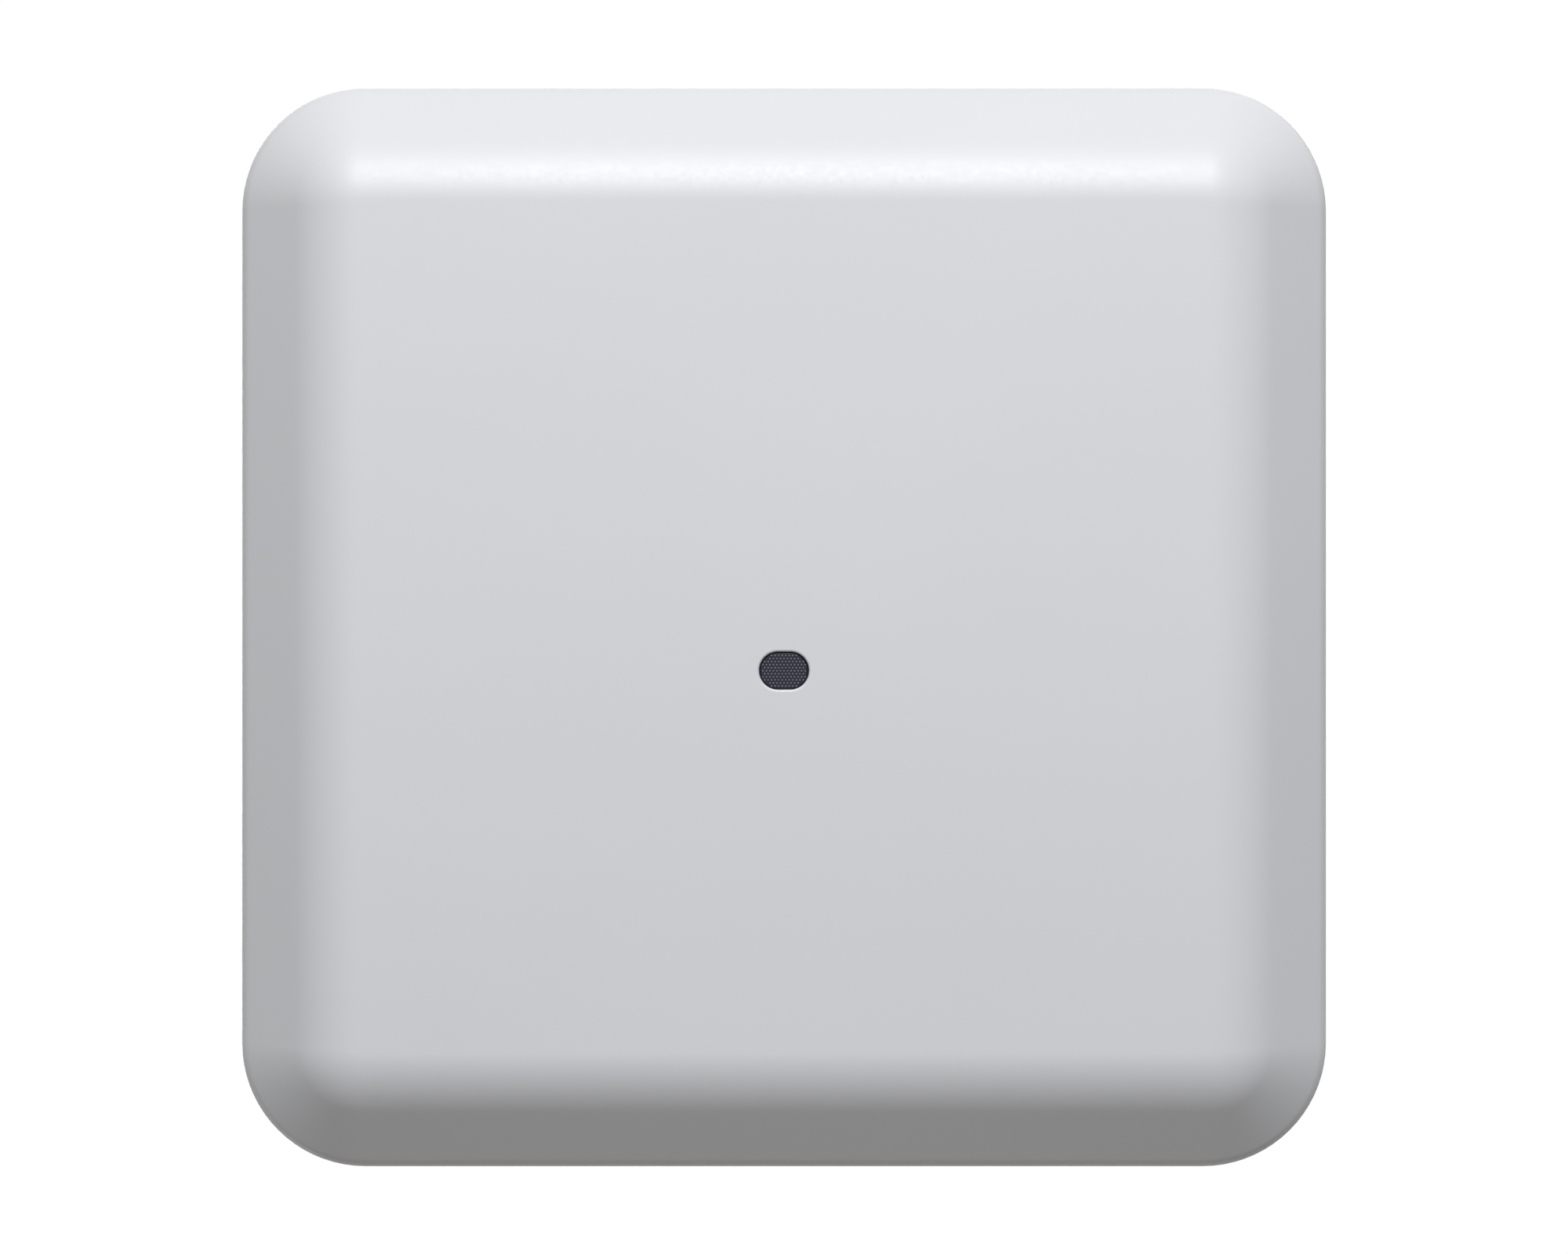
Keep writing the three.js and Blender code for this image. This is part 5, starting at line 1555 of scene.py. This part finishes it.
@dataclass
class LatchSpring(SubAssembly):
    """The riveted spring strip that catches the unit: foot, blade, tooth and finger tab in one."""

    half_width: float = 6.0
    sheet: float = 0.6
    root: float = 45.0
    hinge: float = 54.0
    plate_edge: float = 72.0
    tab_end: float = 80.0
    tab_rise: float = 2.4
    tooth_y: float = 62.0
    tooth_half: float = 3.5
    tooth_low: float = -9.6
    top: float = -5.6

    def strip(self) -> Shape:
        """Blank the strip, lance its tooth down and bend its tab up."""
        shape = Shape()
        z, half, r = self.top, self.half_width, 2.0
        pen = shape.pen(half, self.root + r, z).line((half, self.plate_edge - 0.4, z),
                                                     (-half, self.plate_edge - 0.4, z),
                                                     (-half, self.root + r, z))
        pen.arc((r - half, self.root + r, z), 90, 6).line((half - r, self.root, z))
        pen.arc((half - r, self.root + r, z), 90, 6)
        hole = shape.circle(LAYOUT.rivet_hole, z, 0, LAYOUT.rivet_y, 24)
        middle = self.tooth_y + self.sheet + 2.0
        window = shape.rounded(2 * self.tooth_half + 0.6, 4.0, 0.3, z, 0, middle, 2)
        shape.fill(pen.close(), hole, window)
        edge = [e for e in shape.bm.edges if e.is_boundary
                and all(abs(v.co.y - self.plate_edge + 0.4) < NEAR for v in e.verts)]
        reach = self.tab_end - self.plate_edge
        knee = shape.extrude(edge, (0, 0.8, 0.12))
        rise = shape.extrude(knee, (0, reach - 1.4, self.tab_rise - 0.35))
        tip = shape.extrude(rise, (0, 1.0, 0.23))
        verts = list({v for e in tip for v in e.verts})
        bmesh.ops.scale(shape.bm, vec=(0.8, 1, 1), verts=verts)
        sheet_solid(shape, self.sheet, upper=True)
        low, high = self.tooth_low, z - self.sheet / 2
        y, t = self.tooth_y, self.sheet
        outline = shape.polygon([(-self.tooth_half, y, high), (-self.tooth_half, y, low + 0.9),
                                 (-self.tooth_half + 0.9, y, low), (self.tooth_half - 0.9, y, low),
                                 (self.tooth_half, y, low + 0.9), (self.tooth_half, y, high)])
        shape.thicken(shape.fill(outline), (0, t, 0))
        shape.outward()
        return shape.soften(0.09, 2, 50)

    def rivet(self) -> Shape:
        """Set the domed rivet that holds the strip."""
        shape = Shape()
        head, tail = self.top + 0.3, LEVELS.keyhole_bottom - 0.3
        profile = [(0, tail - 0.8), (1.6, tail - 0.8), (2.2, tail - 0.55), (2.5, tail - 0.15), (2.5, tail),
                   (1.6, tail), (1.6, head), (2.7, head), (2.8, head + 0.12)]
        profile += [(2.8 * cos(radians(a)), head + 0.12 + 0.78 * sin(radians(a))) for a in (18, 36, 54, 72)]
        profile.append((0, head + 0.9))
        shape.turn(profile, 0, LAYOUT.rivet_y, 28)
        return shape.outward()

    def build(self) -> None:
        """Make the latch and its rivet."""
        strip = self.shop.piece("latch_spring_strip", self.strip(), Slot.SPRING, [self.palette.spring],
                                None,
                           ("latch_spring_foot", "latch_spring_blade"))
        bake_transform(strip)
        self.shop.piece("latch_rivet_set", self.rivet(), Slot.SCREW, [self.palette.screw], Body.BRACKET,
                        ("latch_rivet",))


# ------------------------------------------------------------------ base, label and port bay


@dataclass
class BaseCasting(SubAssembly):
    """The die-cast tray, softened along its edges, with its ejector marks and its label."""

    edge: float = 0.4
    mark_radius: float = 3.0
    mark_height: float = 0.18
    label_width: float = 66.0
    label_length: float = 13.0
    label_y: float = 86.2
    rule_inset: float = 1.2
    rule_width: float = 0.25
    rule_reach: float = 5.2

    def build(self) -> None:
        """Make the casting and its label."""
        shape = Shape.copy_of(self.shop.node("base_casting"))
        shape.soften(self.edge, 2, 35)
        back = LEVELS.base_back
        for x in (-70.0, -35.0, 35.0, 70.0):
            for y in (-72.0, 0.0, 74.0):
                low = shape.circle(self.mark_radius, back - 0.1, x, y, 28)
                rim = shape.circle(self.mark_radius, back + self.mark_height * 0.6, x, y, 28)
                top = shape.circle(self.mark_radius - 0.2, back + self.mark_height, x, y, 28)
                inner = shape.circle(self.mark_radius - 0.5, back + self.mark_height, x, y, 28)
                dish = shape.circle(self.mark_radius - 0.7, back + self.mark_height * 0.4, x, y, 28)
                shape.loft(low, rim, top, inner, dish)
        bmesh.ops.recalc_face_normals(shape.bm, faces=shape.bm.faces)
        self.shop.piece("base_casting_blasted", shape, Slot.CASTING, [self.palette.casting], Body.UNIT,
                        ("base_casting",))
        self.label()

    def label(self) -> None:
        """Lay the blank label on the casting's back, with its ruled border."""
        shape = Shape()
        low = LEVELS.base_back + 0.05
        loops = [shape.rounded(self.label_width - 2 * i, self.label_length - 2 * i, 1.5 - i, z, 0,
                               self.label_y)
                 for i, z in ((0, low), (0, low + 0.15), (0.05, low + 0.2))]
        shape.loft(*loops)
        shape.outward()
        self.shop.piece("rating_label_film", shape, Slot.LABEL, [self.palette.label], Body.UNIT,
                        ("rating_label",))
        rules = Shape()
        z = low + 0.2
        width, length = self.label_width - 2 * self.rule_inset, self.label_length - 2 * self.rule_inset
        rule = self.rule_width
        outer = rules.rounded(width, length, 0.6, z + 0.01, 0, self.label_y)
        inner = rules.rounded(width - 2 * rule, length - 2 * rule, 0.4, z + 0.01, 0, self.label_y)
        rules.thicken(rules.fill(outer, inner), (0, 0, -0.03))
        for x in (-12.0, 14.0):
            rules.block((x, self.label_y - self.rule_reach, z - 0.02),
                        (x + rule, self.label_y + self.rule_reach, z + 0.01))
        rules.outward()
        self.shop.piece("rating_label_rules", rules, Slot.LABEL, [self.palette.rule], Body.UNIT)


@dataclass
class Jack:
    """A shielded socket in the port bay, by its outer size and its mouth."""

    x: float
    width: float
    height: float
    depth: float
    front: float = LAYOUT.socket_front
    sheet: float = 0.35

    @property
    def middle(self) -> float:
        """Height of the socket's middle."""
        return LEVELS.jack_bottom + self.height / 2

    def housing(self, mouth: list[tuple[float, float]], depth: float) -> Shape:
        """Make the shell round a mouth, with black moulding inside it.

        Args:
            mouth: The mouth's outline as X and Z pairs from the socket's middle,
            anticlockwise from the front.
            depth: How deep the mouth is.

        Returns:
            The shape, with the shell's faces numbered 0 and the moulding's 1.
        """
        shape = Shape()
        bm = shape.bm
        half_x, half_z, y = self.width / 2, self.height / 2, self.front
        x, z = self.x, self.middle
        outer = shape.polygon([(x - half_x, y, z - half_z), (x + half_x, y, z - half_z),
                               (x + half_x, y, z + half_z), (x - half_x, y, z + half_z)])
        opening = shape.polygon([(x + px, y, z + pz) for px, pz in mouth])
        shape.fill(outer, opening)
        shape.cap(shape.extrude(outer, (0, self.depth, 0)))
        lip = shape.extrude(opening, (0, self.sheet, 0))
        known = set(bm.faces)
        step = shape.extrude(lip, (0, 0.02, 0))
        inner = list({v for e in step for v in e.verts})
        centre = sum((v.co for v in inner), Vector()) / len(inner)
        bmesh.ops.translate(bm, vec=-centre, verts=inner)
        bmesh.ops.scale(bm, vec=(0.975, 1.0, 0.965), verts=inner)
        bmesh.ops.translate(bm, vec=centre, verts=inner)
        end = shape.extrude(step, (0, depth - self.sheet - 0.02, 0))
        shape.fill(end)
        for face in bm.faces:
            if face not in known:
                face.material_index = 1
        return shape.outward()


@dataclass
class PortBay(SubAssembly):
    """The row of sockets and the mode button."""

    usb_x: float = 19.5
    power_x: float = 34.5
    button_x: float = 46.5
    button_z: float = -23.4
    button_front: float = -89.9
    button_radius: float = 2.3
    collar_y: float = -85.9
    usb_pitch: float = 2.3
    wire_pitch: float = 1.02
    wire_half: float = 0.16
    wire_path: tuple[tuple[float, float], ...] = (
        (2.2, 0.35), (2.6, 0.1), (3.4, 0.25), (10.5, 3.2), (13.5, 3.5), (13.5, 3.85), (10.4, 3.55),
        (3.2, 0.62),
        (2.6, 0.5))

    def network(self, node: str, x: float) -> None:
        """Make one network socket: shell, moulding and eight gold contacts.

        Args:
            node: The frame's socket.
            x: Its middle.
        """
        jack = Jack(x, 16.3, 13.5, 21.0)
        w, h = 5.95, 4.1
        mouth = [(-w, -h), (w, -h), (w, h - 1.7), (3.1, h - 1.7), (3.1, h - 0.75), (1.7, h - 0.75),
                 (1.7, h),
                 (-1.7, h), (-1.7, h - 0.75), (-3.1, h - 0.75), (-3.1, h - 1.7), (-w, h - 1.7)]
        shape = jack.housing(mouth, 14.0)
        shape.soften(0.12, 2, 60, lambda co: co.y < jack.front + 0.1)
        for sign in (-1, 1):
            shape.block((x + sign * 7.1 - 0.09, jack.front - 0.03, jack.middle - 5.6),
                        (x + sign * 7.1 + 0.09, jack.front + 0.3, jack.middle + 5.6))
        self.shop.piece(node + "_shell", shape, Slot.JACK, [self.palette.jack, self.palette.black],
                        Body.UNIT, (node,))
        wires = Shape()
        low = jack.middle - h
        for index in range(8):
            wire_x = x + (index - 3.5) * self.wire_pitch
            outline = [(wire_x - self.wire_half, jack.front + run, low + rise) for run,
                       rise in self.wire_path]
            wires.thicken([wires.cap(wires.polygon(outline))], (2 * self.wire_half, 0, 0))
            wires.block((wire_x + 0.36, jack.front + 1.2, low - 0.05),
                        (wire_x + 0.66, jack.front + 9.0, low + 0.55))
        wires.outward()
        self.split(wires)
        self.shop.piece(node + "_contacts", wires, Slot.JACK, [self.palette.gold, self.palette.black],
                        Body.UNIT)

    @staticmethod
    def split(wires: Shape) -> None:
        """Number the combs between the contacts as black moulding.

        Args:
            wires: The contacts and combs.
        """
        seen: set[bmesh.types.BMFace] = set()
        for face in wires.bm.faces:
            if face in seen:
                continue
            island, stack = {face}, [face]
            while stack:
                for edge in stack.pop().edges:
                    for near in edge.link_faces:
                        if near not in island:
                            island.add(near)
                            stack.append(near)
            seen |= island
            if len(island) == BLOCK_FACES:
                for part in island:
                    part.material_index = 1

    def usb(self) -> None:
        """Make the USB socket with its tongue and four contacts."""
        jack = Jack(self.usb_x, 14.4, 7.2, 14.0)
        w, h = 6.25, 2.6
        shape = jack.housing([(-w, -h), (w, -h), (w, h), (-w, h)], 12.0)
        shape.soften(0.15, 2, 60, lambda co: co.y < jack.front + 0.1)
        for sign in (-1, 1):
            for side in (-1, 1):
                shape.block((jack.x + side * 3.1 - 1.0, jack.front + 1.0,
                             jack.middle + sign * (h - 0.05) - 0.12),
                            (jack.x + side * 3.1 + 1.0, jack.front + 7.0,
                             jack.middle + sign * (h - 0.05) + 0.12))
        self.shop.piece("usb_socket_shell", shape, Slot.JACK, [self.palette.jack, self.palette.black],
                        Body.UNIT, ("usb_socket",))
        tongue = Shape()
        z = jack.middle
        tongue.block((jack.x - 5.55, jack.front + 1.6, z + 0.15),
                     (jack.x + 5.55, jack.front + 12.2, z + 2.0))
        tongue.soften(0.25, 2, 60)
        for index in range(4):
            x = jack.x + (index - 1.5) * self.usb_pitch
            tongue.block((x - 0.5, jack.front + 2.2, z + 0.02), (x + 0.5, jack.front + 11.5, z + 0.2))
        for face in tongue.bm.faces:
            if face.calc_center_median().z < z + 0.14:
                face.material_index = 1
        self.shop.piece("usb_socket_tongue", tongue, Slot.BLACK, [self.palette.black, self.palette.gold],
                        Body.UNIT)

    def power(self) -> None:
        """Make the power socket with its round mouth, lined barrel and centre pin."""
        x, z, y = self.power_x, LEVELS.jack_bottom + 5.5, LAYOUT.socket_front
        shape = Shape()
        shape.block((x - 4.7, y, z - 5.5), (x + 4.7, y + 14.0, z + 5.5))
        face = min(shape.bm.faces, key=lambda f: f.calc_center_median().y)
        outline = list(face.edges)
        bmesh.ops.delete(shape.bm, geom=[face], context="FACES_ONLY")
        rings = []
        for radius, depth in ((3.75, 0.0), (3.6, 0.0), (3.6, 0.25), (3.3, 0.4), (3.1, 0.7), (3.1, 10.0)):
            place = Matrix.Translation((x, y + depth, z)) @ Matrix.Rotation(pi / 2, 4, "X")
            made = bmesh.ops.create_circle(shape.bm, cap_ends=False, radius=radius, segments=36,
                                           matrix=place)
            rings.append(list({e for v in made["verts"] for e in v.link_edges}))
        shape.fill(outline, rings[0])
        shape.loft(*rings, start=False)
        shape.outward()
        shape.soften(0.2, 2, 70, lambda co: abs(co.x - x) > 4.5 or abs(co.z - z) > 5.3)
        self.shop.piece("dc_power_jack_body", shape, Slot.BLACK, [self.palette.black], Body.UNIT,
                        ("dc_power_jack",))
        pin = Shape()
        pin.turn([(0, -8.4), (0.55, -8.25), (0.9, -7.8), (1.0, -7.3), (1.0, 0.4), (0, 0.4)], sides=24)
        ring = [(2.75, 0.0), (2.75, -6.5), (3.02, -6.5), (3.02, 0.0), (2.75, 0.0)]
        pin.turn(ring, sides=36)
        pin.outward()
        place = Matrix.Translation((x, y + 9.8, z)) @ Matrix.Rotation(-pi / 2, 4, "X")
        bmesh.ops.transform(pin.bm, matrix=place, verts=pin.bm.verts)
        self.shop.piece("dc_power_jack_pin", pin, Slot.JACK, [self.palette.jack], Body.UNIT)

    def button(self) -> None:
        """Make the mode button with its collar and stem."""
        low, high = (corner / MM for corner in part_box("mode_button"))
        r, length = self.button_radius, high.y - self.button_front
        collar = self.collar_y - self.button_front
        shape = Shape()
        profile = [(0, 0.28), (r * 0.35, 0.22), (r * 0.6, 0.08), (r * 0.72, 0.0), (r - 0.3, 0.0),
                   (r - 0.09, 0.09),
                   (r, 0.3), (r, collar), (r + 1.0, collar), (r + 1.1, collar + 0.1),
                   (r + 1.1, collar + 0.9),
                   (r + 1.0, collar + 1.0), (r * 0.6, collar + 1.0), (r * 0.6, length - 0.2),
                   (r * 0.5, length), (0, length)]
        shape.turn(profile, sides=36)
        shape.outward()
        place = Matrix.Translation((self.button_x, self.button_front, self.button_z)) @ \
            Matrix.Rotation(-pi / 2, 4, "X")
        bmesh.ops.transform(shape.bm, matrix=place, verts=shape.bm.verts)
        self.shop.piece("mode_button_moulded", shape, Slot.BLACK, [self.palette.black], Body.BUTTON,
                        ("mode_button",))

    def build(self) -> None:
        """Make every socket and the button."""
        for node, x in (("ethernet_jack_main", -40.0), ("ethernet_jack_second", -20.0),
                        ("console_jack", 0.0)):
            self.network(node, x)
        self.usb()
        self.power()
        self.button()
        self.shop.dress("mode_switch", self.palette.black)


@dataclass
class Electronics(SubAssembly):
    """The board, its shields and pads, and the antennas, inside the closed unit."""

    def build(self) -> None:
        """Dress what is inside the unit."""
        self.shop.dress("main_board", self.palette.board)
        self.shop.dress("scanning_antenna", self.palette.board)
        self.shop.dress("antenna_reflector", self.palette.shield)
        for part in ("processor", "radio_left", "radio_right"):
            self.shop.dress(f"shield_can_{part}", self.palette.shield)
            self.shop.dress(f"thermal_pad_{part}", self.palette.pad)
        for index in range(1, 5):
            self.shop.dress(f"antenna_element_{index}", self.palette.bronze)
            self.shop.dress(f"antenna_lead_{index}", self.palette.jacket)


# ------------------------------------------------------------------ studio


@dataclass(frozen=True)
class Softbox:
    """One soft light: where it is, what it points at, how large and how strong."""

    name: str
    place: Point
    size: tuple[float, float]
    power: float
    colour: Colour = (1.0, 1.0, 1.0)
    aim: Point = (0.0, 0.0, -0.05)

    def build(self) -> None:
        """Hang the light."""
        lamp = bpy.data.lights.new(self.name, "AREA")
        lamp.shape = "RECTANGLE"
        lamp.size, lamp.size_y = self.size
        lamp.energy = self.power
        lamp.color = self.colour
        light = bpy.data.objects.new(self.name, lamp)
        light.location = self.place
        light.rotation_euler = (Vector(self.aim) - Vector(self.place)).to_track_quat("-Z", "Y").to_euler()
        light.visible_camera = False
        bpy.context.scene.collection.objects.link(light)


@dataclass
class Studio:
    """The camera below the ceiling, the soft lights and the pale floor."""

    lens: float = 100.0
    sensor: float = 36.0
    camera_z: float = -0.9254
    floor_z: float = -2.4
    floor_radius: float = 60.0
    glow_below: float = 0.05
    glow_above: float = 0.65
    room_light: float = 1.5
    room_light_angle: float = 50.0
    room_light_way: Point = (0.1, 0.14, -1.0)
    backdrop: float = 1.02
    ceiling_ramp: tuple[float, float] = (0.08, 0.5)
    # Distances over which the floor is painted from grey to white, a painted brightening.
    floor_painted_brighter: tuple[float, float] = (4.0, 13.0)
    clip_end: float = 200.0
    lights: tuple[Softbox, ...] = (
        Softbox("key_softbox", (0.0, -1.31, -1.56), (0.92, 0.92), 29.5, (0.964, 0.976, 1.0)),
        Softbox("axis_softbox", (0.0, -0.35, -1.5), (1.0, 1.0), 3.9, (0.92, 0.94, 1.0)),
        Softbox("front_softbox", (0.0, -1.148, -0.66), (0.5, 0.5), 1.7, (1.0, 0.95, 0.93)),
        Softbox("right_softbox", (1.0, -0.5, -0.65), (0.8, 0.8), 1.15, (0.9, 0.95, 1.0)),
        Softbox("rear_softbox", (0.0, 1.295, 0.063), (0.8, 0.8), 1.25, (1.0, 0.86, 0.72)),
        Softbox("back_softbox_right", (1.2, -1.25, 0.75), (1.2, 0.5), 1.6),
        Softbox("back_softbox_left", (-1.25, 1.2, 0.95), (1.2, 0.5), 2.0),
    )

    def build(self) -> None:
        """Set the studio up."""
        scene = bpy.context.scene
        view = bpy.data.cameras.new("camera")
        view.lens, view.sensor_width = self.lens, self.sensor
        view.clip_start, view.clip_end = 0.01, self.clip_end
        camera = bpy.data.objects.new("camera", view)
        camera.location = (0.0, 0.0, self.camera_z)
        camera.rotation_euler = (pi, 0.0, 0.0)
        scene.collection.objects.link(camera)
        scene.camera = camera
        for light in self.lights:
            light.build()
        self.surroundings()
        self.floor()
        scene.view_settings.view_transform = "Standard"
        scene.view_settings.look = "None"

    def surroundings(self) -> None:
        """Make the white surroundings: a bright room above the ceiling line and a dim one below it."""
        world = bpy.data.worlds.new("white_surroundings")
        world.use_nodes = True
        tree = world.node_tree
        tree.nodes.clear()
        seen = tree.nodes.new("ShaderNodeBackground")
        seen.inputs["Strength"].default_value = self.backdrop
        glow = tree.nodes.new("ShaderNodeBackground")
        for paper in (seen, glow):
            paper.inputs["Color"].default_value = (1.0, 1.0, 1.0, 1.0)
        way = tree.nodes.new("ShaderNodeTexCoord")
        split = tree.nodes.new("ShaderNodeSeparateXYZ")
        height = tree.nodes.new("ShaderNodeMapRange")
        for socket, value in zip(height.inputs[1:5],
                                 (*self.ceiling_ramp, self.glow_below, self.glow_above)):
            socket.default_value = value
        rays = tree.nodes.new("ShaderNodeLightPath")
        mix = tree.nodes.new("ShaderNodeMixShader")
        out = tree.nodes.new("ShaderNodeOutputWorld")
        for source, target in ((way.outputs["Generated"], split.inputs[0]),
                               (split.outputs[2], height.inputs[0]),
                               (height.outputs[0], glow.inputs["Strength"]),
                               (rays.outputs["Is Camera Ray"], mix.inputs[0]),
                               (glow.outputs[0], mix.inputs[1]),
                               (seen.outputs[0], mix.inputs[2]), (mix.outputs[0], out.inputs["Surface"])):
            tree.links.new(source, target)
        bpy.context.scene.world = world
        lamp = bpy.data.lights.new("room_light", "SUN")
        lamp.energy, lamp.angle = self.room_light, radians(self.room_light_angle)
        light = bpy.data.objects.new("room_light", lamp)
        light.rotation_euler = Vector(self.room_light_way).to_track_quat("-Z", "Y").to_euler()
        bpy.context.scene.collection.objects.link(light)

    def floor(self) -> None:
        """Lay the pale floor, well below the camera, so that it only backs the views from above."""
        mix = Recipe("floor_pale")
        drift = mix.grain(900.0, 3.0, 0.5)
        away = mix.node("VectorMath", Vector=mix.place)
        away.operation = "LENGTH"
        mix.bump(mix.grain(6.0, 3.0, 0.6), 0.2, 0.2)
        colour = mix.blend(mix.between(drift, 0.3, 0.7), (0.74, 0.74, 0.735), (0.72, 0.72, 0.715))
        # Painted light: the floor is painted whiter with distance, from grey near the unit to white far off, so
        # that it fades into the white backdrop.
        colour = mix.blend(mix.between(away.outputs["Value"], *self.floor_painted_brighter), colour, (1.0, 1.0, 1.0))
        material = mix.surface(colour, mix.between(drift, 0.3, 0.7, 0.6, 0.7))
        bm = bmesh.new()
        bmesh.ops.create_circle(bm, cap_ends=True, radius=self.floor_radius, segments=64,
                                matrix=Matrix.Translation((0, 0, self.floor_z)))
        mesh = bpy.data.meshes.new("floor")
        bm.to_mesh(mesh)
        bm.free()
        mesh.materials.append(material)
        floor = bpy.data.objects.new("floor", mesh)
        floor.visible_diffuse = floor.visible_glossy = False
        bpy.context.scene.collection.objects.link(floor)


def main() -> None:
    """Build the studio, then every sub-assembly in order."""
    logging.basicConfig(level=logging.INFO, format="%(message)s")
    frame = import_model()
    made_with = Workshop(frame), Palette()
    cover = RadomeCover(*made_with)
    Studio().build()
    parts: tuple[SubAssembly, ...] = (
        cover, StatusWindow(*made_with, cover), CoverGasket(*made_with, cover), BaseCasting(*made_with),
        Fasteners(*made_with), PortBay(*made_with), CeilingBracket(*made_with),
        GridClip(*made_with, Side.LEFT), GridClip(*made_with, Side.RIGHT), LatchSpring(*made_with),
        Electronics(*made_with))
    for part in parts:
        LOG.info("-- %s", type(part).__name__)
        part.build()


if __name__ == "__main__":
    main()
